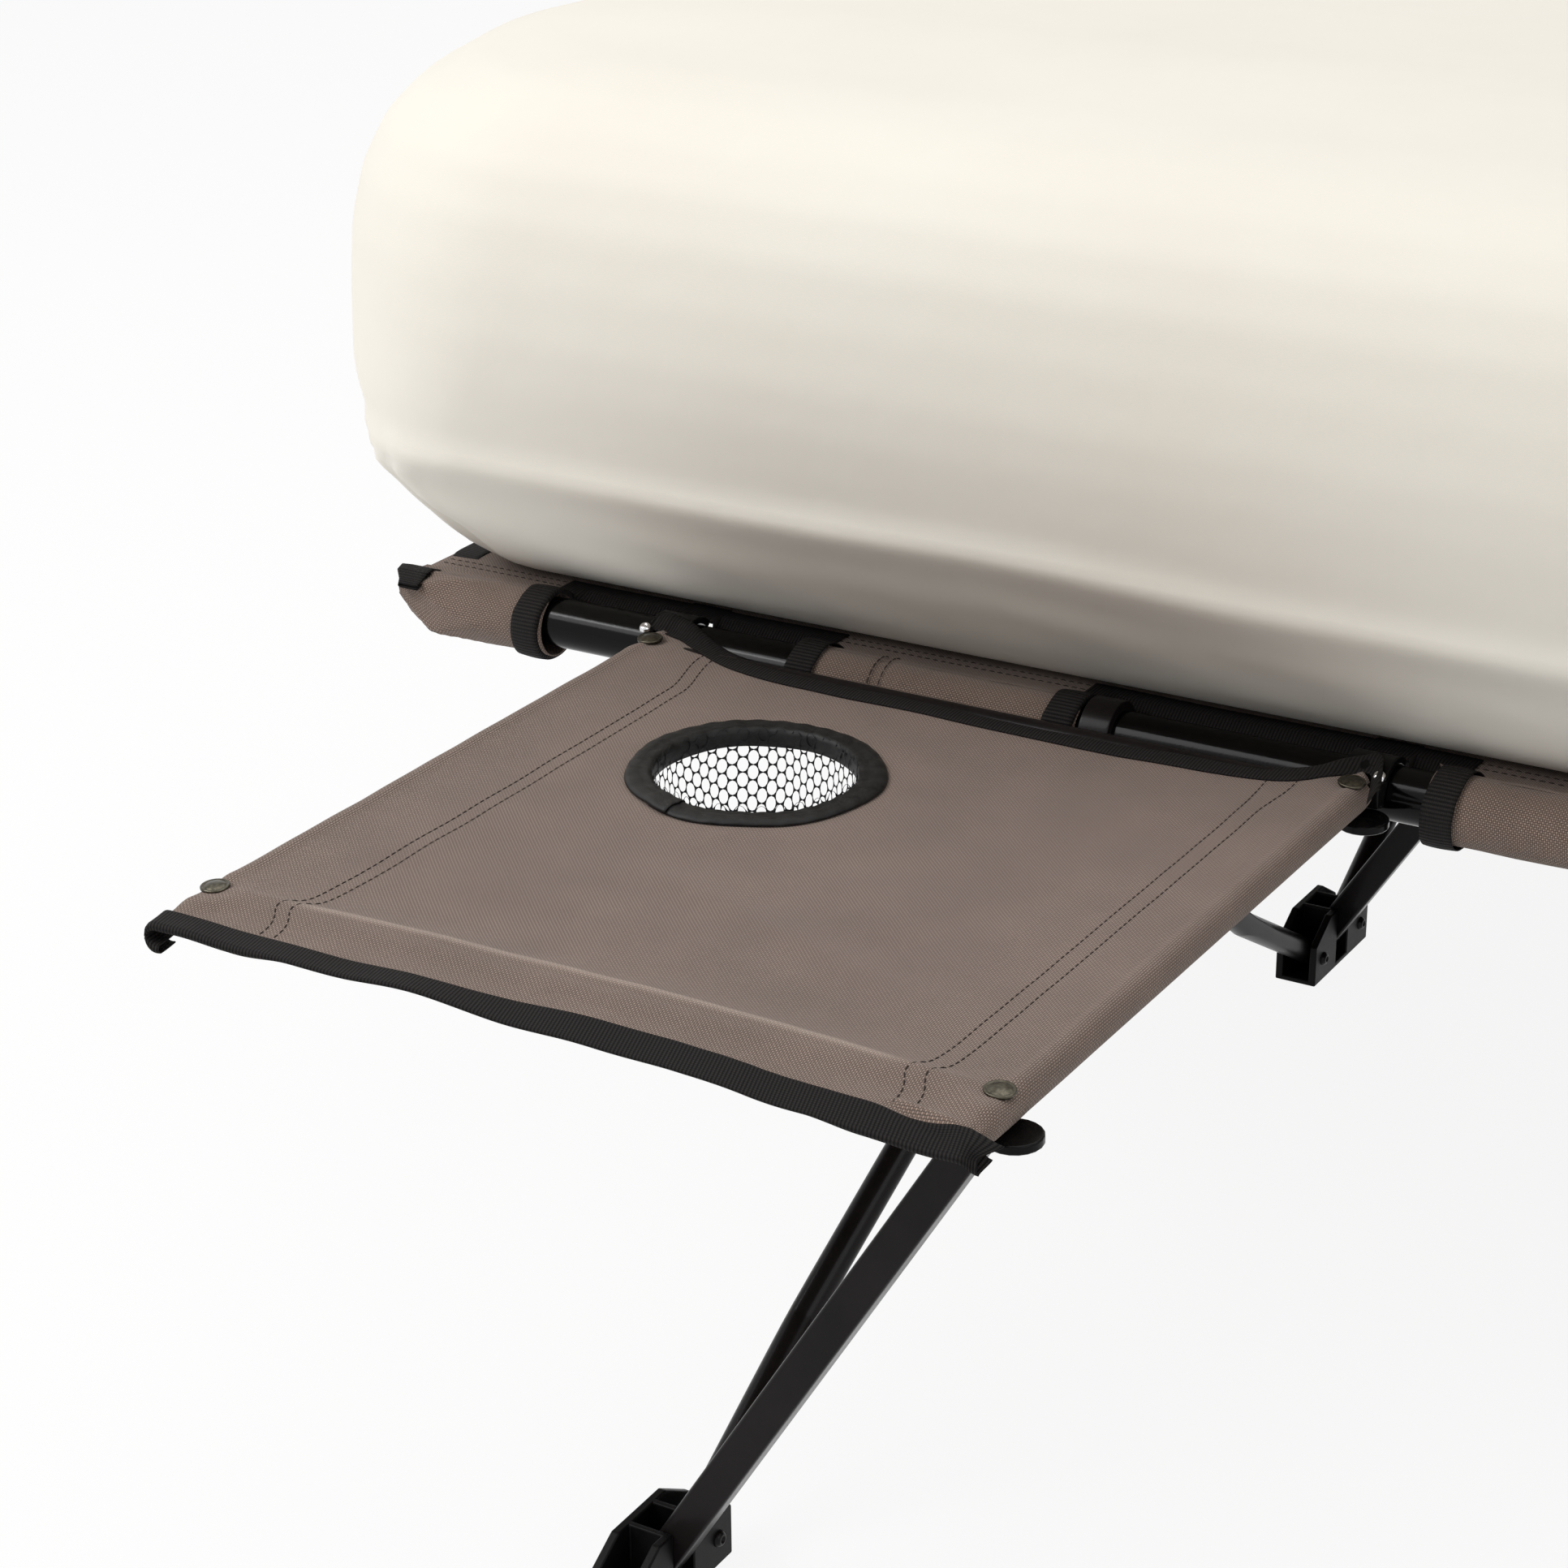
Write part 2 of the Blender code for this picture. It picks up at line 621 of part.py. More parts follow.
def make_table_fasteners():
    """A rivet and a disc at each corner of the table."""
    under = TABLE_TUBE_Z - WRAP_OUTER - GAP - DISC_THICKNESS
    for side, x, way in (("left", TABLE_LEFT_X, -1), ("right", TABLE_RIGHT_X, 1)):
        for end, y in (("front", TABLE_FRONT_Y), ("back", TABLE_BACK_Y)):
            seat = (x, y, DECK_HEIGHT + GAP)
            name = f"table_rivet_{end}_{side}"
            disc(name, seat, RIVET_RADIUS, RIVET_HEIGHT, "antique_brass", top_ratio=0.8)
            seat = (x + way * DISC_OUTWARD, y, under)
            disc(f"table_disc_{end}_{side}", seat, DISC_RADIUS, DISC_THICKNESS, "dark_plastic")


def bed_profile(height):
    """How far the airbed's side stands in from its widest line, at a share of its thickness."""
    if height < 0.55:
        return 0.075 * ((0.55 - height) / 0.55) ** 2.6
    return 0.055 * ((height - 0.55) / 0.45) ** 3.0


def make_airbed():
    """A hollow airbed in its fitted sheet: crowned, with drawn-in sides and a valve hole."""
    bm = bmesh.new()
    bmesh.ops.create_cube(bm, size=2.0)
    bmesh.ops.subdivide_edges(bm, edges=bm.edges[:], cuts=BED_CUTS, use_grid_fill=True)
    base = DECK_TOP + GAP
    for vert in bm.verts:
        u, v = (math.copysign(abs(place) ** BED_EDGE_BIAS, place) for place in vert.co.xy)
        w = vert.co.z
        reach = (abs(u) ** BED_CORNER_POWER + abs(v) ** BED_CORNER_POWER) ** (1 / BED_CORNER_POWER)
        ease = max(abs(u), abs(v)) / reach if reach else 1.0
        inset = bed_profile((w + 1) / 2)
        x = u * ease * (BED_LENGTH / 2 - inset)
        y = v * ease * (BED_WIDTH / 2 - inset)
        vert.co = (x, y + BED_Y, base + (w + 1) / 2 * BED_THICKNESS)
    mesh = bpy.data.meshes.new("airbed")
    bm.to_mesh(mesh)
    bm.free()
    mesh.shade_smooth()
    bed = finish(bpy.data.objects.new("airbed", mesh), "cream_sheet")
    soften = bed.modifiers.new("soften", "SUBSURF")
    soften.levels = 1
    soften.render_levels = 1
    skin = bed.modifiers.new("skin", "SOLIDIFY")
    skin.thickness = BED_SKIN
    skin.offset = -1.0
    place = Matrix.Translation((BED_LENGTH / 2, BED_Y + VALVE_ASIDE, DECK_TOP + VALVE_HEIGHT))
    hole = bmesh.new()
    bmesh.ops.create_cone(
        hole,
        cap_ends=True,
        segments=20,
        radius1=VALVE_RADIUS + GAP,
        radius2=VALVE_RADIUS + GAP,
        depth=0.12,
        matrix=place @ Matrix.Rotation(math.pi / 2, 4, "Y"),
    )
    cut(bed, hole, "valve_hole")


clear_scene()
PARTS = make_collection("camping_cot")
CUTTERS = make_collection("cutters")
MATERIALS = make_materials()
make_rails()
make_cross_bars()
make_deck()
for station_name, (station_x, station_side) in STATIONS.items():
    make_station(station_name, station_x, station_side)
make_table_leg()
make_table_frame()
make_hooks()
make_table_top()
make_cup_holder()
make_table_fasteners()
make_airbed()
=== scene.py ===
"""The looks of a double camping cot with a clip-on side table and an airbed in a fitted sheet.

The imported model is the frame. Every place here is worked out from its boxes, in metres, and every
piece rides on one of its bodies.
"""

import json
from math import atan2, cos, dist, exp, hypot, pi, radians, sin

import bmesh
import bpy
from mathutils import Matrix, Vector, kdtree, noise

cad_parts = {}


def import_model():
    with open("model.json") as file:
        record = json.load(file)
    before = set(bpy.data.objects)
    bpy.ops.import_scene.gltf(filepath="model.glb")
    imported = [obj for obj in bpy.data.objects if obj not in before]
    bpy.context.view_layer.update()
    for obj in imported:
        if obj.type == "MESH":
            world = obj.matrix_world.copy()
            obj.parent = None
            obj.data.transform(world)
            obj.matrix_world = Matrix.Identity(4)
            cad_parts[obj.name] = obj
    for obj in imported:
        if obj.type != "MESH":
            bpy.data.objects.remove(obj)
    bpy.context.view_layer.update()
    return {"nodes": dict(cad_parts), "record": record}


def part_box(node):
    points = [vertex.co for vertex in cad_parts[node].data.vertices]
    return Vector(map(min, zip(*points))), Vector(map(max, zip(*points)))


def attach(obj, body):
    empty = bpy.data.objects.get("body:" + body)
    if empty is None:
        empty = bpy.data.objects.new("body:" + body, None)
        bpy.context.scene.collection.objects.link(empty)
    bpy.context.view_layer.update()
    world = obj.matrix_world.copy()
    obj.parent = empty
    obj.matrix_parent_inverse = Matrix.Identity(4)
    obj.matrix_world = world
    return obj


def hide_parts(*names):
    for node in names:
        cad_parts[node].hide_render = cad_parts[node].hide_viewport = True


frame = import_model()

# Camera, fitted to the four rivets of the table in the photograph
CAMERA_PLACE = (0.1148, -1.9592, 0.9041)
CAMERA_RIGHT = (0.8611, 0.5084, -0.0076)
CAMERA_DOWN = (0.1913, -0.3379, -0.9215)
CAMERA_AHEAD = (-0.4711, 0.7921, -0.3882)
CAMERA_LENS = 84.04
CAMERA_SENSOR = 36.0

# Each lamp's name, place, aim, size and power
LAMPS = [
    ("key", (-2.5, -2.3, 2.8), (-0.5, -0.5, 0.3), (2.2, 2.2), 64),
    ("strip", (-2.7, -1.85, 2.5), (-0.8, -0.56, 0.28), (1.8, 0.22), 16),
    ("fill", (2.4, -1.8, 1.8), (0.0, -0.3, 0.3), (1.8, 1.8), 14),
    ("top", (0.0, 0.2, 3.4), (0.0, 0.1, 0.3), (3.0, 3.0), 34),
]
WORLD_LIGHT = 0.36
FLOOR_GLOW = 0.90
WHITE = (1.0, 1.0, 1.0, 1.0)

# Fabric, thread and tape
CLOTH = 0.0008
TAPE = 0.0006
RIBBON_WIDTH = 0.018
BINDING_WIDTH = 0.0165
WEAVE_PITCH = 0.00095
RIB_PITCH = 0.0016
SATIN_PITCH = 0.0005
STITCH_LENGTH = 0.0034
STITCH_PITCH = 0.0043
STITCH_RADIUS = 0.00032
# Rings of a stitch: how far along it each lies, its size and how far it sinks
STITCH_RINGS = ((0, 0.5, 1.1), (0.15, 0.9, 0.4), (0.5, 1, 0), (0.85, 0.9, 0.4), (1, 0.5, 1.1))

# The side table
FLAP = 0.0335
BAND_WIDTH = 0.0085
CURL = 0.0050
CURL_STEPS = 14
HEM_REACH = 0.042
HEM_LAYER = 0.0011
RIDGE_CREST = 0.0012
RIDGE_WIDTH = 0.0032
RIDGE_FALL = 0.0050
TOP_STEPS = 150
CLOTH_ROWS = 210
BRACE_SHIFT = 0.0075

# The cup holder
RING_INNER = 0.0462
RING_STEPS = 240
LIP_DROP = 0.006
NET_THREAD = 0.00036
NET_COLUMNS = 66
NET_ROW = 0.0069
NET_SPACING = 0.0041
NET_FLOOR = 0.031
NET_SEAM_STEPS = 64
NET_SEAM_SIDES = 8

TOP_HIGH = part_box("table_top")[1]
RAIL_LOW, RAIL_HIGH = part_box("near_side_rail")
DECK_LOW, DECK_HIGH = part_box("deck_fabric")
BED_LOW, BED_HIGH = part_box("airbed")


def box_middle(name, axis):
    """The middle of a node's box along an axis."""
    low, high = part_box(name)
    return (getattr(low, axis) + getattr(high, axis)) / 2


def box_half(name, axis):
    """Half the size of a node's box along an axis."""
    low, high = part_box(name)
    return (getattr(high, axis) - getattr(low, axis)) / 2


TABLE_X = box_middle("table_tube_left", "x")
TABLE_WIDTH = box_middle("table_tube_right", "x") - TABLE_X
TABLE_RIGHT = TABLE_X + TABLE_WIDTH
TABLE_Y = box_middle("table_bar_front", "y")
TABLE_DEPTH = box_middle("table_bar_back", "y") - TABLE_Y
TABLE_Z = TOP_HIGH.z
BACK_EDGE = TOP_HIGH.y - TABLE_Y
HEM_RADIUS = box_half("table_top", "z")
CUP_X = box_middle("cup_ring", "x") - TABLE_X
CUP_Y = box_middle("cup_ring", "y") - TABLE_Y
RING_OUTER = box_half("cup_ring", "x")
POCKET_DEPTH = 2 * box_half("cup_pocket", "z")

RAIL_Y = box_middle("near_side_rail", "y")
FAR_RAIL_Y = box_middle("far_side_rail", "y")
RAIL_Z = box_middle("near_side_rail", "z")
RAIL_RADIUS = box_half("near_side_rail", "z")
DECK_TOP = RAIL_Z + 0.0098
DECK_EDGE = 0.006
SEAM_X = TABLE_X + TABLE_WIDTH * 0.32
# The table's hooks on the near rail, and where the binding beside each gives way
HOOK_PLACES = (TABLE_X, TABLE_RIGHT)
HOOK_HALF = 0.0107
HOOK_CLEAR = 0.0113

# Both rails with the way from each to the deck, and where the sleeves run along them
RAILS = (("near", RAIL_Y, 1), ("far", FAR_RAIL_Y, -1))
SLEEVES = [
    ("head", DECK_LOW.x, TABLE_X - 0.071),
    ("middle", TABLE_X + 0.068, TABLE_RIGHT - 0.140),
    ("long", TABLE_RIGHT + 0.029, DECK_HIGH.x),
]

# The bed's height over the deck, how far the sheet is set in from its widest, and its corner's radius
BED_PROFILE = [
    (0.0000, 0.130, 0.040), (0.0000, 0.108, 0.042), (0.0012, 0.094, 0.044),
    (0.0055, 0.084, 0.046), (0.0125, 0.0765, 0.050), (0.022, 0.0675, 0.056),
    (0.036, 0.0540, 0.064), (0.050, 0.0395, 0.072), (0.062, 0.0275, 0.080),
    (0.070, 0.0205, 0.088), (0.075, 0.0165, 0.094), (0.080, 0.0140, 0.100),
    (0.088, 0.0118, 0.108), (0.105, 0.0070, 0.124), (0.128, 0.0022, 0.142),
    (0.150, 0.0000, 0.150), (0.178, 0.0016, 0.150), (0.204, 0.0066, 0.150),
    (0.227, 0.0170, 0.148), (0.2445, 0.0330, 0.144), (0.2565, 0.0560, 0.138),
    (0.2635, 0.0880, 0.130), (0.2675, 0.1340, 0.120), (0.2695, 0.2050, 0.110),
]
BED_X, BED_Y = box_middle("airbed", "x"), box_middle("airbed", "y")
BED_HALF_X = box_half("airbed", "x") - 0.004
BED_HALF_Y = box_half("airbed", "y") - 0.002
BED_BASE = BED_LOW.z + 0.0004
BED_CORNER = 0.150
BED_GIRTH = 6.6
BED_ROW = 0.0055
BED_COLUMNS = 760
CAP_ROWS = 26
END_TUCK = 0.80
RIDGE_HEIGHT = 0.077
BEAM_PITCH = 0.131

# The simulation of the air in the bed
SWELL_VOXEL = 0.020
SWELL_FRAMES = 20
SWELL_HOLD = 0.6
SWELL_CAP = 0.006
SWELL_SMOOTHING = 0.045
SWELL_NEIGHBOURS = 48
AIR = {
    "vertex_group_mass": "held",
    "use_pressure": True,
    "uniform_pressure_force": 4.0,
    "shrink_min": -0.03,
    "tension_stiffness": 12,
    "compression_stiffness": 6,
    "shear_stiffness": 3,
    "bending_stiffness": 0.02,
    "pin_stiffness": 0.3,
}


def mix(first, second, share):
    return first + (second - first) * share


def span(low, high, steps):
    """Even places from low to high."""
    return [mix(low, high, step / steps) for step in range(steps + 1)]


def smooth(low, high, value):
    """0 below low, 1 above high, and a soft step between."""
    share = min(max((value - low) / (high - low), 0.0), 1.0)
    return share * share * (3 - 2 * share)


def plateau(start, inside, last, end, value):
    """1 from inside to last, with a soft step up from start and one down to end."""
    return smooth(start, inside, value) * (1 - smooth(last, end, value))


def bump(value, centre, width):
    """A soft bell round a centre."""
    return exp(-(((value - centre) / width) ** 2))


def ripple(x, y, scale, seed=0.0):
    """Soft noise from -1 to 1 with features of about that scale."""
    return noise.noise(Vector((x / scale, y / scale, seed)))


def distances(path):
    """How far along a path each of its points lies."""
    reach = [0.0]
    for before, after in zip(path, path[1:]):
        reach.append(reach[-1] + dist(before, after))
    return reach


def to_mesh(name, bm):
    mesh = bpy.data.meshes.new(name)
    bm.normal_update()
    bm.to_mesh(mesh)
    bm.free()
    mesh.shade_smooth()
    return mesh


def set_all(thing, **settings):
    for key, value in settings.items():
        setattr(thing, key, value)
    return thing


def add_object(name, data):
    obj = bpy.data.objects.new(name, data)
    bpy.context.scene.collection.objects.link(obj)
    return obj


def add_piece(name, mesh, material, body, stands_for=()):
    piece = add_object(name, mesh)
    mesh.materials.append(material)
    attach(piece, body)
    if stands_for:
        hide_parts(*stands_for)
    return piece


def grid(name, columns, rows, place, closed=False, tube=False, keep=None):
    """A sheet of quads. place(column, row) gives a point and its place on the flat cloth.

    closed joins the last column to the first, and tube the last row to the first.
    """
    bm = bmesh.new()
    flat = bm.loops.layers.uv.new("flat")
    points, places = {}, {}
    for column in range(columns + 1):
        for row in range(rows + 1):
            point, places[column, row] = place(column, row)
            first = (column % columns if closed else column, row % rows if tube else row)
            points[column, row] = points[first] if first in points else bm.verts.new(point)
    for column in range(columns):
        for row in range(rows):
            if keep and not keep(column, row):
                continue
            corners = [(column, row), (column + 1, row), (column + 1, row + 1), (column, row + 1)]
            face = bm.faces.new([points[corner] for corner in corners])
            for loop, corner in zip(face.loops, corners):
                loop[flat].uv = places[corner]
    loose = [vert for vert in bm.verts if not vert.link_faces]
    bmesh.ops.delete(bm, geom=loose, context="VERTS")
    return to_mesh(name, bm)


def thicken(piece, thickness, offset):
    set_all(piece.modifiers.new("thickness", "SOLIDIFY"), thickness=thickness, offset=offset)


def lathe(name, profile, steps):
    """A turned mesh from a profile of radius and height, run from the top centre outward."""
    bm = bmesh.new()
    rings = []
    for radius, height in profile:
        if radius < 1e-6:
            rings.append([bm.verts.new((0, 0, height))] * steps)
            continue
        angles = [2 * pi * step / steps for step in range(steps)]
        rings.append([bm.verts.new((radius * cos(turn), radius * sin(turn), height)) for turn in angles])
    for inner, outer in zip(rings, rings[1:]):
        for step in range(steps):
            after = (step + 1) % steps
            corners = [inner[step], outer[step], outer[after], inner[after]]
            bm.faces.new(list(dict.fromkeys(corners)))
    return to_mesh(name, bm)


def turned(name, profile, steps, place, direction):
    """A turned mesh at a place, whose axis looks along a direction."""
    mesh = lathe(name, profile, steps)
    turn = Vector((0, 0, 1)).rotation_difference(Vector(direction)).to_matrix().to_4x4()
    mesh.transform(Matrix.Translation(place) @ turn)
    return mesh


# Materials


def node(tree, kind, inputs=None, **settings):
    """A shader node with its settings, and its inputs set to numbers or linked to sockets."""
    made = set_all(tree.nodes.new("ShaderNode" + kind), **settings)
    feed(tree, made, inputs or {})
    return made


def feed(tree, made, inputs):
    """Sets a node's inputs to numbers or links them to sockets."""
    for key, value in inputs.items():
        if isinstance(value, bpy.types.NodeSocket):
            tree.links.new(value, made.inputs[key])
        else:
            made.inputs[key].default_value = value


def maths(tree, operation, first, second=0.0):
    return node(tree, "Math", {0: first, 1: second}, operation=operation).outputs[0]


def times(tree, value, factor, plus=0.0):
    """A value times a factor, plus a number or another value."""
    return maths(tree, "ADD", maths(tree, "MULTIPLY", value, factor), plus)


def blend(tree, kind, share, first, second):
    inputs = {"Fac": share, "Color1": first, "Color2": second}
    return node(tree, "MixRGB", inputs, blend_type=kind).outputs["Color"]


def ramp(tree, share, stops):
    """A colour ramp from (place, colour) stops."""
    made = node(tree, "ValToRGB", {"Fac": share})
    elements = made.color_ramp.elements
    for element, (place, colour) in zip(elements, (stops[0], stops[-1])):
        element.position = place
        element.color = (*colour, 1.0)
    for place, colour in stops[1:-1]:
        elements.new(place).color = (*colour, 1.0)
    return made.outputs["Color"]


def shades(colour, *stops):
    """Stops of a ramp: each one's place, and how much brighter than the colour it is."""
    return [(place, tuple(part * gain for part in colour)) for place, gain in stops]


def new_material(name, colour, roughness, **sockets):
    material = bpy.data.materials.new(name)
    material.use_nodes = True
    tree = material.node_tree
    shader = tree.nodes["Principled BSDF"]
    inputs = {"Base Color": (*colour, 1.0), "Roughness": roughness}
    inputs.update({socket.replace("_", " "): value for socket, value in sockets.items()})
    feed(tree, shader, inputs)
    return material, tree, shader


def add_bump(tree, shader, height, distance, strength):
    made = node(tree, "Bump", {"Height": height, "Distance": distance, "Strength": strength})
    feed(tree, shader, {"Normal": made.outputs["Normal"]})


def flat_place(tree):
    """The place on the flat cloth, in metres, as two sockets."""
    uv = node(tree, "UVMap", uv_map="flat").outputs["UV"]
    split = node(tree, "SeparateXYZ", {0: uv})
    return split.outputs["X"], split.outputs["Y"]


def wave(tree, place, pitch):
    """A sine that turns over once in each pitch."""
    return maths(tree, "SINE", maths(tree, "MULTIPLY", place, pi / pitch))


def weave(tree, first_pitch, second_pitch):
    """The product of two waves, along and across the flat cloth."""
    first, second = flat_place(tree)
    return maths(tree, "MULTIPLY", wave(tree, first, first_pitch), wave(tree, second, second_pitch))


def cloud(tree, scale, detail=3.0, roughness=0.5):
    """Soft noise in object space. scale is in features per metre."""
    place = node(tree, "TexCoord").outputs["Object"]
    inputs = {"Vector": place, "Scale": scale, "Detail": detail, "Roughness": roughness}
    return node(tree, "TexNoise", inputs).outputs["Fac"]


def canvas_material():
    """A coarse plain weave of taupe yarn, whose threads vary a little in colour. Painted shade darkens the
    gaps between the threads, and a painted highlight pales the ridge over the front bar.
    """
    material, tree, shader = new_material(
        "taupe_canvas", (0.21, 0.155, 0.127), 0.82, Sheen_Weight=0.18, Sheen_Roughness=0.45
    )
    threads = weave(tree, WEAVE_PITCH, WEAVE_PITCH)
    dome = maths(tree, "POWER", maths(tree, "ABSOLUTE", threads), 0.7)
    warp = maths(tree, "GREATER_THAN", threads, 0.0)
    tint = blend(tree, "MIX", warp, (0.395, 0.288, 0.232, 1.0), (0.225, 0.150, 0.113, 1.0))
    # Painted shade: the colour darkens towards the gaps between the threads, where the yarn's crowns fall
    # away
    shade = blend(tree, "MIX", dome, (0.034, 0.023, 0.018, 1.0), tint)
    slow = maths(tree, "MULTIPLY", cloud(tree, 26, 4), 0.35)
    mottle = times(tree, cloud(tree, 1400, 2, 0.6), 0.65, slow)
    patch = ramp(tree, mottle, [(0.33, (0.78, 0.78, 0.78)), (0.67, (1.20, 1.20, 1.20))])
    yarn = blend(tree, "MULTIPLY", 1.0, shade, patch)
    # Painted highlight: a paler tone mixed in along the ridge over the front bar
    ridge_highlight = node(tree, "Attribute", attribute_name="ridge_highlight").outputs["Fac"]
    share = maths(tree, "MULTIPLY", ridge_highlight, 0.34)
    feed(tree, shader, {"Base Color": blend(tree, "MIX", share, yarn, (0.62, 0.50, 0.42, 1.0))})
    add_bump(tree, shader, dome, 0.00026, 1.0)
    return material


def webbing_material():
    """Black ribbed webbing: cords across its width with a fine yarn on each, with painted shade in the
    grooves and painted highlights on the cords.
    """
    material, tree, shader = new_material(
        "black_webbing", (0.008, 0.0072, 0.007), 0.72, Specular_IOR_Level=0.16
    )
    along, across = flat_place(tree)
    rib = maths(tree, "ABSOLUTE", wave(tree, along, RIB_PITCH))
    yarn = maths(tree, "ABSOLUTE", wave(tree, across, RIB_PITCH * 0.55))
    height = times(tree, yarn, 0.35, rib)
    # Painted light: the colour follows the ribs' height, darker in the grooves as painted shade and paler
    # on the crests as painted highlights
    stops = [(0.15, (0.0015, 0.0013, 0.0013)), (0.6, (0.007, 0.006, 0.0058)), (1.0, (0.022, 0.019, 0.018))]
    feed(tree, shader, {"Base Color": ramp(tree, maths(tree, "MULTIPLY", height, 0.75), stops)})
    add_bump(tree, shader, height, 0.0004, 1.0)
    return material


def binding_material():
    """Black satin binding tape with faint folds and a mottle of painted sheen, paler where the folds rise.
    """
    material, tree, shader = new_material(
        "satin_binding", (0.007, 0.007, 0.007), 0.5, Specular_IOR_Level=0.22
    )
    mottle = cloud(tree, 190, 5, 0.65)
    # Painted sheen: the cloud that raises the folds also makes them paler, standing in for the satin's
    # sheen
    colour = ramp(tree, mottle, [(0.35, (0.0035, 0.0034, 0.0034)), (0.72, (0.016, 0.0155, 0.015))])
    feed(tree, shader, {"Base Color": colour, "Roughness": times(tree, mottle, 0.3, 0.3)})
    height = times(tree, weave(tree, SATIN_PITCH, SATIN_PITCH), 0.12, mottle)
    add_bump(tree, shader, height, 0.0004, 0.6)
    return material


def sheet_material():
    """Fine cream jersey: soft, with slow changes of tone."""
    material, tree, shader = new_material(
        "cream_sheet", (0.83, 0.785, 0.695), 0.88, Sheen_Weight=0.25, Sheen_Roughness=0.6
    )
    stops = [(0.3, (0.820, 0.773, 0.684)), (0.7, (0.842, 0.800, 0.712))]
    feed(tree, shader, {"Base Color": ramp(tree, cloud(tree, 7, 5, 0.6), stops)})
    height = times(tree, cloud(tree, 1500, 2, 0.5), 0.12, cloud(tree, 45, 3, 0.5))
    add_bump(tree, shader, height, 0.0007, 0.5)
    return material


def cloudy_material(name, colour, roughness, mottle, gloss, stops=None, relief=None, **sockets):
    """A material whose roughness, tone and relief follow soft noise.

    mottle is the cloud behind the roughness and the tone, as scale, detail and roughness. gloss is
    its factor and what is added for the roughness. relief is a cloud, its depth and its strength.
    """
    material, tree, shader = new_material(name, colour, roughness, **sockets)
    soft = cloud(tree, *mottle)
    feed(tree, shader, {"Roughness": times(tree, soft, *gloss)})
    if stops:
        feed(tree, shader, {"Base Color": ramp(tree, soft, stops)})
    if relief:
        add_bump(tree, shader, cloud(tree, *relief[0]), *relief[1:])
    return material


def fibre_material(name, colour, roughness):
    """Twisted thread: fine strands."""
    strands = (2600, 2)
    gloss = (0.3, roughness - 0.15)
    relief = (strands, 0.0001, 0.6)
    return cloudy_material(name, colour, roughness, strands, gloss, None, relief, Specular_IOR_Level=0.2)


def paint_material(name, colour, roughness, coat):
    """Baked black paint on steel tube, with faint orange peel and a few dull patches."""
    gloss = (0.16, roughness - 0.08)
    stops = shades(colour, (0.3, 0.8), (0.8, 1.35))
    relief = ((900, 2), 0.00006, 0.5)
    sockets = {"Coat_Weight": coat, "Coat_Roughness": 0.06, "Specular_IOR_Level": 0.10}
    return cloudy_material(name, colour, roughness, (35, 4, 0.6), gloss, stops, relief, **sockets)


def plastic_material(name, colour, roughness, grain):
    """Moulded plastic with a fine grain and a few scuffs."""
    scuffs = (60, 5, 0.7)
    gloss = (0.2, roughness - 0.1)
    stops = shades(colour, (0.35, 1), (0.8, 1.5))
    relief = ((1500, 3, 0.7), grain, 0.6)
    return cloudy_material(name, colour, roughness, scuffs, gloss, stops, relief, Specular_IOR_Level=0.09)


def brass_material():
    """Antique brass: dark in its hollows and rubbed brighter on its dome."""
    spots = (420, 5, 0.7)
    stops = [(0.3, (0.030, 0.027, 0.020)), (0.6, (0.105, 0.095, 0.072)), (0.85, (0.24, 0.22, 0.17))]
    relief = (spots, 0.0001, 0.4)
    colour = (0.14, 0.12, 0.085)
    return cloudy_material("antique_brass", colour, 0.34, spots, (0.3, 0.2), stops, relief, Metallic=1.0)


CANVAS = canvas_material()
WEBBING = webbing_material()
BINDING = binding_material()
NET = fibre_material("net_thread", (0.008, 0.008, 0.009), 0.5)
THREAD = fibre_material("stitch_thread", (0.022, 0.015, 0.012), 0.7)
RAIL_PAINT = paint_material("gloss_black_paint", (0.0014, 0.0012, 0.0012), 0.14, 0.08)
TUBE_PAINT = paint_material("satin_black_paint", (0.0085, 0.0068, 0.0068), 0.30, 0.05)
FOOT_PLASTIC = plastic_material("matt_black_plastic", (0.0035, 0.0032, 0.0032), 0.42, 0.00012)
HOOK_PLASTIC = plastic_material("gloss_black_plastic", (0.004, 0.004, 0.004), 0.16, 0.00003)
BRASS = brass_material()
CHROME = cloudy_material("bright_screw", (0.72, 0.72, 0.73), 0.16, (800, 2), (0.12, 0.1), Metallic=1.0)
SHEET = sheet_material()

SLOT_MATERIALS = {
    "rail": RAIL_PAINT,
    "tube": TUBE_PAINT,
    "foot_plastic": FOOT_PLASTIC,
    "hook_plastic": HOOK_PLASTIC,
    "taupe_fabric": CANVAS,
    "tape": BINDING,
    "net": NET,
    "rivet": BRASS,
    "sheet": SHEET,
}


# The frame's own nodes


def dress_frame():
    """Gives every node of the frame its material, smooth shading and softened edges."""
    for part in frame["record"]["subparts"]:
        obj = frame["nodes"][part["node"]]
        mesh = obj.data
        mesh.materials.clear()
        mesh.materials.append(SLOT_MATERIALS[part["material_slot"]])
        for name in ("custom_normal", "sharp_edge"):
            if name in mesh.attributes:
                mesh.attributes.remove(mesh.attributes[name])
        mesh.shade_smooth()
        square = "brace" in part["node"] and not part["node"].endswith("_bar")
        tube = part["material_slot"] in ("rail", "tube") and not square
        soften(obj, square, tube)


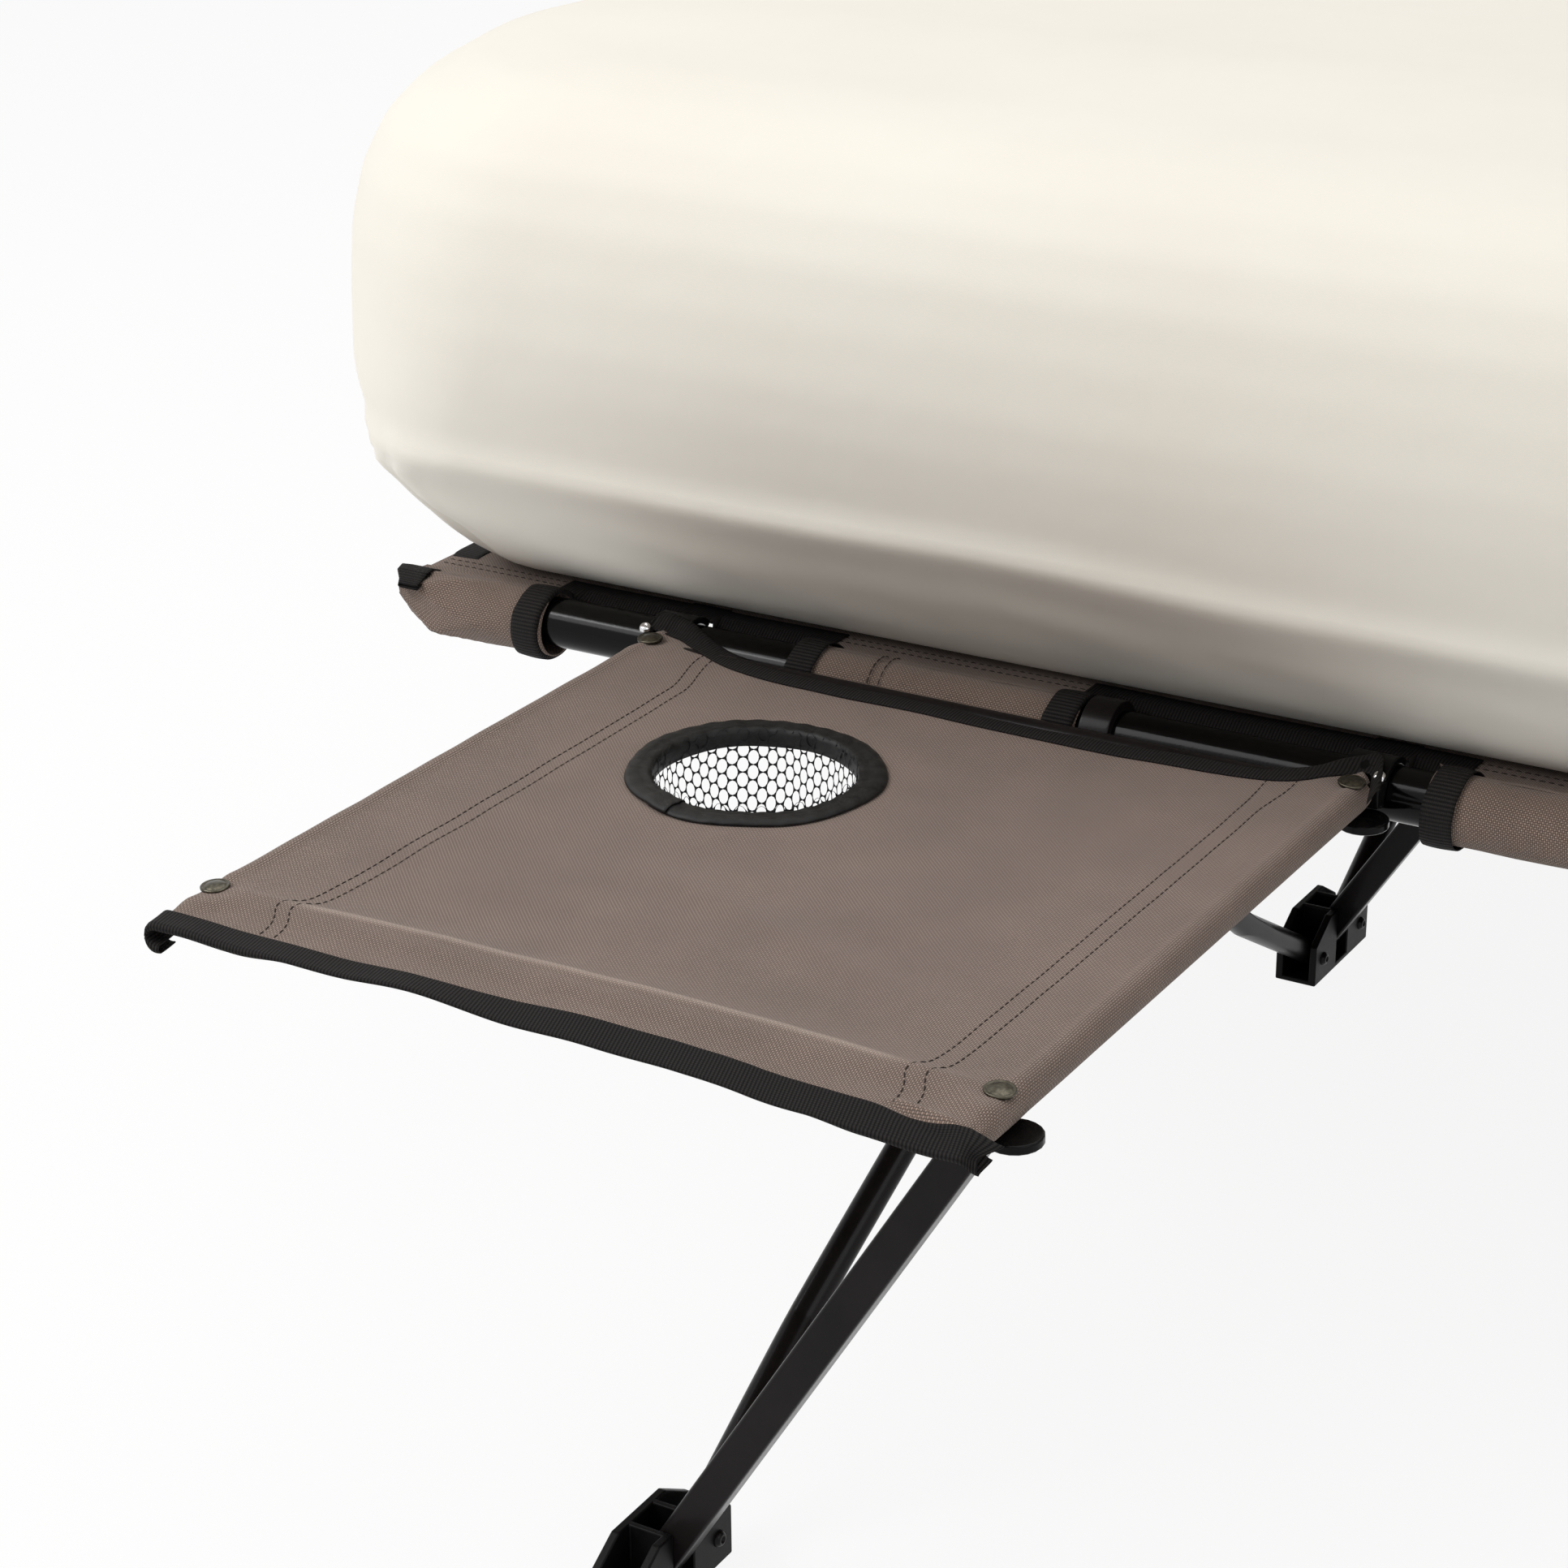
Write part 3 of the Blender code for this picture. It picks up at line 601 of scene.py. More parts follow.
def soften(obj, square, tube):
    """Joins a node's faces, softens its edges and rounds its tubes."""
    new = obj.modifiers.new
    set_all(new("joined_corners", "WELD"), merge_threshold=0.00001)
    set_all(new("flat_faces", "DECIMATE"), decimate_type="DISSOLVE", angle_limit=radians(1.5))
    edges = set_all(new("soft_edges", "BEVEL"), segments=3, limit_method="ANGLE")
    edges.width = 0.0016 if square else 0.0006 if tube else 0.0009
    edges.angle_limit = radians(50 if tube else 30)
    edges.harden_normals = not tube
    if tube:
        set_all(new("round_tube", "SUBSURF"), levels=2, render_levels=2)


def make_table_brace():
    """The table's square brace, which leans out a little less far than the frame's own."""
    mesh = frame["nodes"]["table_leg_brace"].data.copy()
    mesh.materials.clear()
    low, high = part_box("table_leg_brace")
    for vert in mesh.vertices:
        vert.co.x -= BRACE_SHIFT * (vert.co.z - low.z) / (high.z - low.z)
    brace = add_piece("table_brace", mesh, TUBE_PAINT, "table_brace", ["table_leg_brace"])
    soften(brace, True, False)


# The side table's cloth


def world(point):
    """A place on the table, from its front left rivet, in the frame."""
    x, y, z = point
    return Vector((TABLE_X + x, TABLE_Y + y, TABLE_Z - CLOTH / 2 + z))


def on_table(x):
    """The nearest place between the two side tubes."""
    return min(max(x, 0.0), TABLE_WIDTH)


def back_line(x):
    """Where the cloth ends at the back: further out round the two tubes than between them."""
    corner = max(bump(x, 0.004, 0.024), bump(x, TABLE_WIDTH - 0.004, 0.022))
    outside = max(-x, x - TABLE_WIDTH, 0.0)
    return BACK_EDGE + 0.0085 * corner - 0.6 * outside


def band_line(x):
    """Where the front binding's inner edge runs: straight from the left, then bowed inwards."""
    bow = 0.0048 * bump(x, 0.205, 0.065) - 0.0022 * smooth(0.26, 0.36, x)
    return BAND_WIDTH - FLAP + bow + 0.0005 * sin(x / 0.019 + 0.6)


def front_line(x):
    return band_line(x) - BAND_WIDTH + 0.0022 * smooth(0.16, 0.36, x)


def ridge_line(x):
    """The front bar shows through the cloth as a ridge that bows a little inwards."""
    return 0.0075 * sin(pi * on_table(x) / TABLE_WIDTH) ** 0.7 - 0.001


def droop_slope(x):
    """How steeply the flap's bound edge hangs: hardly at the left, more towards the right."""
    return 0.12 + 0.48 * smooth(0.12, 0.21, x) + 0.34 * smooth(0.21, 0.36, x)


def side_hem(x):
    """1 where the cloth is doubled by a side hem, 0 between them."""
    return 1 - smooth(HEM_REACH - 0.004, HEM_REACH + 0.022, min(x, TABLE_WIDTH - x))


def panel_height(y, from_ridge, over):
    """The panel behind the ridge falls away, sags and rises over the back bar."""
    fall = 1 - exp(-((from_ridge / 0.0115) ** 1.35))
    height = (RIDGE_CREST * bump(from_ridge, 0.0, RIDGE_WIDTH) - RIDGE_FALL * fall) * over**0.35
    depth = min(from_ridge / TABLE_DEPTH, 1.0)
    height -= 0.0022 * sin(pi * depth) ** 0.8 * over
    return height + 0.0018 * bump(y, TABLE_DEPTH - 0.008 * over, 0.011) * over**0.4


def flap_height(x, y, from_ridge, over):
    """The flap in front of the ridge hangs from the bar and the tubes' ends, and sways."""
    beside_tube = max(bump(x, 0.0, 0.012), bump(x, TABLE_WIDTH, 0.012))
    hang = max(-y - 0.001 - 0.011 * beside_tube, 0.0)
    height = RIDGE_CREST * bump(from_ridge, 0.0, RIDGE_WIDTH) * over**0.35
    height -= 0.0024 * (1 - exp(-((hang / 0.0095) ** 2)))
    height -= 0.035 * hang * (0.4 + 0.6 * smooth(0.1, 0.34, x))
    height -= max(band_line(x) - y, 0.0) * droop_slope(x)
    sway = sin(x / 0.0165 + 0.9) * 0.55 + sin(x / 0.0103 + 2.1) * 0.45
    return height + 0.0011 * sway * smooth(0.008, 0.04, hang)


def cloth_creases(x, y, over):
    """Slow waves, a crease past the cup holder, a fold at the front right and the rivets' seats."""
    height = 0.00055 * ripple(x, y, 0.030, 3.1) + 0.0009 * ripple(x, y, 0.085, 7.7) * over
    crease = (x - 0.10) * 0.35 + (y - 0.13) * 0.94
    height += 0.0011 * bump(crease, 0.0, 0.011) * plateau(0.10, 0.18, 0.27, 0.34, x)
    from_right = x - TABLE_WIDTH
    pull = (y + 0.021) + (from_right + 0.030) * 0.16
    fold = plateau(-0.040, -0.024, -0.010, 0.0, from_right)
    height += fold * (0.0016 * bump(pull, 0.0, 0.0022) - 0.0018 * bump(pull, -0.0045, 0.003))
    for seat_x in (0.0, TABLE_WIDTH):
        for seat_y in (0.0, TABLE_DEPTH):
            apart = hypot(x - seat_x, y - seat_y)
            height += 0.0005 * bump(apart, 0.013, 0.005) - 0.0007 * bump(apart, 0.0, 0.010)
    return height


def cloth_height(x, y):
    """How far the cloth lies above the level of the tubes' tops."""
    over = sin(pi * on_table(x) / TABLE_WIDTH)
    from_ridge = y - ridge_line(x)
    if from_ridge >= 0:
        height = panel_height(y, from_ridge, over)
    else:
        height = flap_height(x, y, from_ridge, over)
    return height + cloth_creases(x, y, over)


def on_cloth(x, y, above=0.0):
    return world((x, y, cloth_height(x, y) + CLOTH / 2 + above))


def hem_line(side, y, number):
    """Where a row of stitching runs along a side hem. It jogs where the hem turns over a bar."""
    jog = -0.0055 * bump(y, -0.001, 0.007) + 0.0020 * bump(y, -0.023, 0.010)
    back_jog = -0.007 * smooth(0.285, 0.322, y) + 0.004 * smooth(0.325, 0.336, y)
    if side == "left":
        return (0.0385, 0.0455)[number] + jog + back_jog
    return TABLE_WIDTH - (0.0335, 0.0250)[number] + jog * 0.8 - back_jog * 0.3 * (1 if number else -1)


def cloth_columns():
    """The cloth's cross-section: from a hem's inner edge round both tubes to the other hem's.

    Each column has its place across the table, its depth under the top and how far it follows
    the rise and fall of the top.
    """
    radius = HEM_RADIUS - CLOTH / 2
    hem = []
    for step in range(10):
        share = step / 10
        hem.append((mix(HEM_REACH, 0.0, share), mix(HEM_LAYER, radius * 2, share), 1 - share))
    for step in range(16):
        angle = radians(-90 - 180 * step / 16)
        follow = smooth(0.0, 1.0, step / 16)
        hem.append((radius * cos(angle), radius - radius * sin(angle), follow))
    middle = [(x, 0.0, 1.0) for x in span(0.0, TABLE_WIDTH, TOP_STEPS)]
    mirror = [(TABLE_WIDTH - x, depth, follow) for x, depth, follow in reversed(hem)]
    return hem + middle + mirror


def row_share(row):
    """How far back a row of the cloth lies. The rows are closest at the front."""
    share = row / CLOTH_ROWS
    return share * (0.55 + 0.45 * share)


def hole_pull(x, y):
    """Moves a point near the cup holder's hole out to the hole's edge."""
    apart = hypot(x - CUP_X, y - CUP_Y)
    hole = RING_INNER + 0.001
    if apart > hole + 0.003:
        return Vector((0, 0, 0))
    return Vector((x - CUP_X, y - CUP_Y, 0)) * max(hole / max(apart, 1e-6) - 1, 0.0)


def cloth_point(x, depth, follow, row):
    """A point of the cloth on the table, and how far back it lies."""
    clamped = on_table(x)
    front = front_line(clamped) + 0.0012 + 0.0020 * side_hem(x)
    back = back_line(x if depth < HEM_RADIUS else clamped)
    y = mix(front, back, row_share(row))
    tunnel = smooth(-0.031, -0.013, y)
    squeeze = mix(0.10, 1.0, tunnel) * mix(1.0, 0.75, smooth(BACK_EDGE - 0.004, BACK_EDGE + 0.008, y))
    if depth > HEM_LAYER:
        depth = HEM_LAYER + (depth - HEM_LAYER) * squeeze
    rise = cloth_height(clamped, y) * mix(1.0, follow, tunnel)
    point = Vector((mix(clamped, x, mix(0.75, 1.0, tunnel)), y, rise - depth))
    if depth == 0.0:
        point += hole_pull(x, y)
    return world(point), y


def paint_ridge_highlight(mesh):
    """Marks where a painted highlight makes the cloth paler: along the ridge over the front bar."""
    ridge_highlight = mesh.attributes.new("ridge_highlight", "FLOAT", "POINT")
    for vert in mesh.vertices:
        x, y = vert.co.x - TABLE_X, vert.co.y - TABLE_Y
        inside = plateau(0.030, 0.055, TABLE_WIDTH - 0.055, TABLE_WIDTH - 0.030, x)
        # Painted highlight: strongest just on the ridge's crest, faded out towards the hems
        ridge_highlight.data[vert.index].value = bump(y, ridge_line(x) - 0.0004, 0.0019) * inside


def make_table_cloth():
    columns = cloth_columns()
    reach = distances([column[:2] for column in columns])

    def place(column, row):
        point, y = cloth_point(*columns[column], row)
        return point, (reach[column], y)

    def keep(column, row):
        x, depth, _ = columns[column]
        if depth != 0.0 or columns[column + 1][1] != 0.0:
            return True
        y = mix(front_line(x), back_line(x), row_share(row + 0.5))
        return hypot(x + TABLE_WIDTH / TOP_STEPS / 2 - CUP_X, y - CUP_Y) > RING_INNER

    mesh = grid("table_cloth", len(columns) - 1, CLOTH_ROWS, place, keep=keep)
    paint_ridge_highlight(mesh)
    cloth = add_piece("table_cloth", mesh, CANVAS, "side_table", ["table_top"])
    thicken(cloth, CLOTH, 0.0)


def point_along(path, reach, distance):
    """The point of a path that lies a distance along it."""
    index = 0
    while index < len(reach) - 2 and reach[index + 1] < distance:
        index += 1
    length = reach[index + 1] - reach[index]
    return path[index].lerp(path[index + 1], (distance - reach[index]) / length if length else 0)


def add_stitch(bm, first, last):
    """One stitch: a thin six-sided rod that sinks at both its ends."""
    ahead = (last - first).normalized()
    side = ahead.cross(Vector((0, 0, 1))).normalized()
    up = side.cross(ahead)
    rings = []
    for share, size, sink in STITCH_RINGS:
        middle = first.lerp(last, share) - up * STITCH_RADIUS * sink
        arms = [side * cos(pi * turn / 3) + up * sin(pi * turn / 3) for turn in range(6)]
        rings.append([bm.verts.new(middle + arm * STITCH_RADIUS * size) for arm in arms])
    for before, after in zip(rings, rings[1:]):
        for turn in range(6):
            nxt = (turn + 1) % 6
            bm.faces.new((before[turn], before[nxt], after[nxt], after[turn]))
    bm.faces.new(list(reversed(rings[0])))
    bm.faces.new(rings[-1])


def make_stitches(name, path, body):
    """A row of stitches along a path of close points."""
    bm = bmesh.new()
    reach = distances(path)
    for number in range(int(reach[-1] / STITCH_PITCH)):
        start = number * STITCH_PITCH
        first, last = (point_along(path, reach, place) for place in (start, start + STITCH_LENGTH))
        add_stitch(bm, first, last)
    bmesh.ops.recalc_face_normals(bm, faces=bm.faces)
    add_piece(name, to_mesh(name, bm), THREAD, body)


def make_table_stitching():
    for side in ("left", "right"):
        for number in (0, 1):
            places = span(-FLAP + BAND_WIDTH + 0.002, BACK_EDGE - 0.004, 260)
            path = [on_cloth(hem_line(side, y, number), y, STITCH_RADIUS * 0.4) for y in places]
            make_stitches(f"table_stitching_{side}_{number + 1}", path, "side_table")


def ribbon(name, path, lines, body):
    """A strip of webbing along a path. lines has the row of points across it at each path point."""
    reach = distances(path)
    widths = distances(lines[len(lines) // 2])

    def place(column, row):
        return lines[column][row], (reach[column], widths[row])

    mesh = grid(name, len(path) - 1, len(lines[0]) - 1, place)
    thicken(add_piece(name, mesh, WEBBING, body), TAPE, 0.0)


def front_section(x, sink, right_end):
    """The front binding across its width: its upper layer, its folded edge and its lower layer."""
    half = CLOTH / 2 + TAPE / 2 + 0.0001
    clamped = on_table(x)
    cut = smooth(TABLE_WIDTH + 0.001, right_end, x)
    edge = front_line(clamped) - 0.0008 + 0.0035 * cut
    inner = band_line(clamped) - 0.0005 * cut
    under = half + (HEM_LAYER + 0.0010) * side_hem(x)
    across = [(y, half) for y in span(inner, edge, 8)]
    middle, reach = (half - under) / 2, (half + under) / 2
    for degrees in (45, 0, -45):
        turn = radians(degrees)
        across.append((edge - reach * cos(turn) * 0.8, middle + reach * sin(turn)))
    across += [(y, -under) for y in span(edge, inner, 8)]
    found = []
    for y, above in across:
        toward = smooth(inner, edge, y)
        hang = cloth_height(clamped, max(y, edge)) - (0.0030 * toward + 0.0035) * cut
        lean = cut * mix(0.0045 if above > 0 else 0.0, -0.0040, toward)
        found.append(world((x + lean, y, hang + above * (1 + 0.8 * cut) + sink)))
    return found


def make_front_webbing():
    """The binding folded over the flap's edge. Its left end curls under, its right is cut askew."""
    left_end, right_end = -0.0035, TABLE_WIDTH + 0.0115
    path = [(x, 0.0) for x in span(right_end, left_end, 240)]
    for step in range(1, CURL_STEPS + 1):
        angle = radians(200 * step / CURL_STEPS)
        path.append((left_end - CURL * sin(angle), -CURL * (1 - cos(angle))))
    points = [world((x, -FLAP, z)) for x, z in path]
    ribbon("front_webbing", points, [front_section(x, z, right_end) for x, z in path], "side_table")


def back_section(x):
    """The back webbing across its width. It climbs at both corners, over the hooks."""
    left, right = bump(x, -0.004, 0.040), bump(x, TABLE_WIDTH + 0.002, 0.018)
    corner = max(left, right)
    inner = BACK_EDGE - 0.0185 + 0.0255 * left + 0.020 * right
    inner += 0.007 * bump(x, TABLE_WIDTH, 0.045)
    inner -= 2.2 * max(x - TABLE_WIDTH - 0.004, 0.0)
    width = RIBBON_WIDTH * (1 - 0.25 * corner)
    lift = 0.0046 * max(bump(x, 0.001, 0.020), bump(x, TABLE_WIDTH - 0.001, 0.020))
    found = []
    for share in span(0.0, 1.0, 8):
        y = inner + width * share
        rise = cloth_height(on_table(x), min(y, BACK_EDGE))
        z = rise + CLOTH / 2 + TAPE / 2 + 0.0002 + lift * smooth(0.1, 0.9, share)
        z -= 0.0022 * smooth(0.75, 1.0, share) * (1 - corner)
        found.append(world((x, y, z)))
    return found


def make_back_webbing():
    path = span(-0.0080, TABLE_WIDTH + 0.0150, 220)
    points = [world((x, BACK_EDGE, 0.0)) for x in path]
    ribbon("back_webbing", points, [back_section(x) for x in path], "side_table")


# The cup holder


def make_cup_ring():
    """The bound ring: a padded tape sewn in a circle, whose end laps over its start."""
    inner, outer = RING_INNER - 0.0005, RING_OUTER
    profile = [
        (inner + 0.0004, -LIP_DROP), (inner + 0.0001, -LIP_DROP * 0.5), (inner, 0.0),
        (inner + 0.0006, 0.0017), (inner + 0.0022, 0.0026), (inner + 0.0038, 0.0021),
        (inner + 0.0060, 0.0024), (outer - 0.0045, 0.0026), (outer - 0.0020, 0.0021),
        (outer - 0.0004, 0.0013), (outer, 0.0004),
    ]
    start, lap = radians(-112), radians(12)

    def place(column, row):
        share = column / RING_STEPS
        angle = start + (2 * pi + lap) * share
        radius, height = profile[row]
        lifted = 0.0009 * smooth(0.93, 0.975, share)
        sway = 0.0007 * sin(3 * angle + 0.5) + 0.0004 * sin(7 * angle)
        pucker = 0.00022 * sin(angle * 31) * smooth(0.0, 0.002, height)
        radius += (sway + 0.0008 * smooth(0.96, 1.0, share)) * (row / 10)
        x, y = CUP_X + radius * cos(angle), CUP_Y + radius * sin(angle)
        point = on_cloth(x, y, height + lifted + pucker)
        return point, (angle * (RING_INNER + RING_OUTER) / 2, row * 0.0022)

    mesh = grid("cup_binding", RING_STEPS, len(profile) - 1, place)
    ring = add_piece("cup_binding", mesh, BINDING, "side_table", ["cup_ring"])
    thicken(ring, 0.0005, -1.0)


def hexagons(columns, rows, place, keep=None):
    """A net of hexagons. place(across, down) counts columns and rows. Without keep it closes round."""
    bm = bmesh.new()
    shared = {}

    def corner(across, down):
        across = across if keep else across % columns
        key = (round(across * 6), round(down * 6))
        if key not in shared:
            shared[key] = bm.verts.new(place(across, down))
        return shared[key]

    ring = ((-2 / 3, 0), (-1 / 3, -0.5), (1 / 3, -0.5), (2 / 3, 0), (1 / 3, 0.5), (-1 / 3, 0.5))
    for column in range(columns):
        for row in range(rows):
            centre = row + (0.5 if column % 2 else 0.0)
            if not keep or keep(column, centre):
                bm.faces.new([corner(column + right, centre + down) for right, down in ring])
    return bm


def net_piece(name, bm, stands_for=()):
    piece = add_piece(name, to_mesh(name, bm), NET, "side_table", stands_for)
    threads = set_all(piece.modifiers.new("threads", "WIREFRAME"), thickness=NET_THREAD)
    set_all(threads, use_replace=True, use_even_offset=False, use_boundary=True)
    set_all(piece.modifiers.new("round_threads", "SUBSURF"), levels=1, render_levels=1)


def pocket_place(angle, depth):
    """A place on the net pocket: down its wall by a depth, for an angle round it."""
    share = min(depth / POCKET_DEPTH, 1.0)
    radius = mix(RING_INNER - 0.0009, NET_FLOOR, share**2.2)
    radius += 0.0010 * sin(5 * angle + 3 * share) * share + 0.0006 * sin(11 * angle)
    angle += 0.045 * sin(2 * angle + 0.6) + 0.02 * sin(5 * angle + depth * 60)
    return world((CUP_X + radius * cos(angle), CUP_Y + radius * sin(angle), -0.0016 - depth))


def make_net_wall(drop):
    rows = int(drop / NET_ROW)
    step = drop / (rows + 0.5)

    def wall(across, down):
        return pocket_place(2 * pi * across / NET_COLUMNS, min((down + 0.5) * step, drop))

    net_piece("net_wall", hexagons(NET_COLUMNS, rows, wall), ["cup_pocket"])


def make_net_floor(drop):
    half = int(NET_FLOOR / NET_SPACING) + 1

    def floor_place(across, down):
        return (across - half) * NET_SPACING, (down - 5) * NET_ROW

    def flat(across, down):
        x, y = floor_place(across, down)
        apart = hypot(x, y)
        if apart > NET_FLOOR:
            x, y = x * NET_FLOOR / apart, y * NET_FLOOR / apart
        sag = 0.002 * (1 - (apart / NET_FLOOR) ** 2) if apart < NET_FLOOR else 0.0
        return world((CUP_X + x, CUP_Y + y, -drop - 0.0016 - sag * 0.3))

    def inside(column, centre):
        return hypot(*floor_place(column, centre)) < NET_FLOOR + 0.001

    net_piece("net_floor", hexagons(2 * half + 1, 11, flat, inside))


def make_net_floor_seam(drop):
    """A taped ring where the pocket's wall meets its floor."""
    turns = span(0.0, 2 * pi, NET_SEAM_SIDES)
    section = [(0.0007 * cos(turn), 0.0018 * sin(turn)) for turn in turns]
    around = distances(section)
    step = 2 * NET_FLOOR * sin(pi / NET_SEAM_STEPS)

    def place(column, row):
        angle = 2 * pi * column / NET_SEAM_STEPS
        out, up = section[row]
        x, y = (NET_FLOOR + out) * cos(angle), (NET_FLOOR + out) * sin(angle)
        return world((CUP_X + x, CUP_Y + y, up - drop - 0.0012)), (column * step, around[row])

    mesh = grid("net_floor_seam", NET_SEAM_STEPS, NET_SEAM_SIDES, place, closed=True, tube=True)
    add_piece("net_floor_seam", mesh, BINDING, "side_table")


def make_net_pocket():
    drop = POCKET_DEPTH - 0.0016
    make_net_wall(drop)
    make_net_floor(drop)
    make_net_floor_seam(drop)


# Fasteners

RIVET_PROFILE = [
    (0.0, 0.0021), (0.0018, 0.0020), (0.0036, 0.0016), (0.0046, 0.0010), (0.0049, 0.0008),
    (0.0053, 0.0011), (0.0059, 0.0012), (0.00625, 0.0008), (0.0062, 0.0001), (0.0058, -0.0006),
]
# Shares of the radius
SCREW_PROFILE = [
    (0.0, 0.35), (0.40, 0.35), (0.46, 0.62), (0.70, 0.55), (0.92, 0.28), (1.0, 0.05), (1.0, -0.2)
]
# Shares of the rail's radius, and heights
CAP_PROFILE = [(0.0, 0.0028), (0.7, 0.0026), (0.93, 0.0019), (1.01, 0.0008), (1.01, 0.0002), (0.9, 0.0001)]
FOOT_BODIES = {"head": "head_legs", "middle": "middle_legs", "foot": "foot_legs", "table": "table_stand"}


def make_rivets():
    mesh = lathe("rivet", RIVET_PROFILE, 48)
    for end in ("front", "back"):
        for side in ("left", "right"):
            name = f"rivet_{end}_{side}"
            piece = add_piece(name, mesh.copy(), BRASS, "side_table", ["table_" + name])
            x, y = (box_middle("table_" + name, axis) for axis in "xy")
            piece.location = on_cloth(x - TABLE_X, y - TABLE_Y, 0.0003)
            piece.rotation_euler = (0.04, -0.05 if side == "left" else 0.05, 0)


def add_screw(name, place, direction, radius, material, body):
    """A button-headed screw with its socket, looking along a direction."""
    profile = [(radius * across, radius * height) for across, height in SCREW_PROFILE]
    add_piece(name, turned(name, profile, 28, place, direction), material, body)


def make_bolts():
    """The bright screws of the hooks and the bolts through the feet."""
    for side, way in (("left", -1), ("right", 1)):
        x = box_middle(f"table_hook_{side}", "x") + way * 0.0088
        place = (x, TABLE_Y + BACK_EDGE + 0.0055, TABLE_Z + 0.0008)
        add_screw(f"hook_screw_{side}", place, (0, -0.25, 1), 0.0030, CHROME, "side_table")
    for foot in frame["nodes"]:
        if not foot.endswith("_foot"):
            continue
        low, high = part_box(foot)
        body = FOOT_BODIES[foot.split("_")[0]]
        for side, way, face in (("inner", -1, low.x), ("outer", 1, high.x)):
            for number, shift in enumerate((-0.027, 0.027), start=1):
                place = (face, box_middle(foot, "y") + shift, low.z + 0.0135)
                name = f"{foot}_bolt_{side}_{number}"
                add_screw(name, place, (way, 0, 0), 0.0038, TUBE_PAINT, body)


def make_rail_caps():
    """Plastic plugs in the ends of both side rails."""
    profile = [(RAIL_RADIUS * across, height) for across, height in CAP_PROFILE]
    for side, y, _ in RAILS:
        for end, x, way in (("head", RAIL_LOW.x, -1), ("foot", RAIL_HIGH.x, 1)):
            name = f"{side}_rail_cap_{end}"
            mesh = turned(name, profile, 40, (x, y, RAIL_Z), (way, 0, 0))
            add_piece(name, mesh, FOOT_PLASTIC, "frame")


# The sleeves round the rails


def off_rail(point, rail_y):
    """The way straight out from a rail's axis to a point."""
    return Vector((0, point.y - rail_y, point.z - RAIL_Z)).normalized()


def sleeve_ring(x, angle, rail_y, way, tight):
    """A point of a sleeve round its rail: close on top and slack below."""
    slack = 0.0030 * (0.5 - 0.5 * sin(angle)) ** 1.5
    fine = 0.00055 * ripple(x, angle * 0.014, 0.020, rail_y)
    slow = 0.0005 * ripple(x, angle * 0.02, 0.05, 9 + rail_y)
    radius = RAIL_RADIUS + 0.0013 + slack + (fine + slow) * (1 - tight)
    return Vector((x, rail_y + way * radius * cos(angle), RAIL_Z + radius * sin(angle)))


def gather(point, x, angle, rail_y, out):
    """Folds a sleeve and draws it in where it runs past a rail's end."""
    for end, way_in in ((DECK_LOW.x, 1), (DECK_HIGH.x, -1)):
        apart = (x - end) * way_in
        pull = 1 - smooth(-0.010, 0.030, apart)
        folds = 1 - smooth(0.0, 0.075, apart)
        if folds <= 0:
            continue
        fold = 1 - abs(sin(2 * angle + apart * 36 + 0.9))
        small = 1 - abs(sin(3 * angle - apart * 55 + 2.0))
        crease = (0.0046 * fold**1.4 + 0.0022 * small**2 - 0.0008) * folds
        point += out * crease * (1 - 0.4 * pull)
        shut = mix(0.50, 0.12, smooth(0.004, 0.0, apart))
        point.z = mix(point.z, RAIL_Z + 0.0055 + (point.z - RAIL_Z) * shut, pull)
        point.y = mix(point.y, rail_y + (point.y - rail_y) * 0.70, pull)
    return point


def sleeve_point(x, angle, rail_y, way):
    """A point of a sleeve, snug at its bindings and gathered past a rail's end."""
    tight = max(bump(x, edge, 0.02) for _, low, high in SLEEVES for edge in (low, high))
    point = sleeve_ring(x, angle, rail_y, way, tight)
    out = off_rail(point, rail_y)
    point += out * (0.0006 - 0.0009 * bump(x, SEAM_X, 0.004))
    return gather(point, x, angle, rail_y, out)


def on_sleeve(x, angle, rail_y, way, above):
    """A point at a height over a sleeve's cloth."""
    point = sleeve_point(x, angle, rail_y, way)
    return point + off_rail(point, rail_y) * above


def make_sleeve(side, rail_y, way, name, low, high):
    columns, rows = max(int((high - low) / 0.0015), 24), 60
    if name == "long":
        columns = int((high - low) / 0.008)

    def place(column, row):
        x = mix(low, high, column / columns)
        angle = radians(-270 + 360 * row / rows)
        return sleeve_point(x, angle, rail_y, way), (x, angle * 0.0145)

    mesh = grid(f"{side}_sleeve_{name}", columns, rows, place)
    piece = add_piece(f"{side}_sleeve_{name}", mesh, CANVAS, "frame")
    thicken(piece, CLOTH, 1.0)


def make_sleeve_binding(name, x, inward, rail_y, way):
    """A loop of webbing sewn over a sleeve's open end."""
    loop = [radians(degrees) for degrees in span(-270, 90, 72)]
    lines = []
    for angle in loop:
        line = []
        for step, share in enumerate(span(0.0, 1.0, 8)):
            reach = (-0.0012 if step else 0.0006) + BINDING_WIDTH * share
            place_x = x + inward * reach + 0.0016 * sin(angle + 0.8)
            flare = (0.0017 if step else -0.0005) + 0.0004 * sin(pi * share) + 0.0003 * sin(5 * angle)
            line.append(on_sleeve(place_x, angle, rail_y, way, flare))
        lines.append(line)
    points = [sleeve_ring(x, angle, rail_y, way, 1.0) for angle in loop]
    ribbon(name, points, lines, "frame")


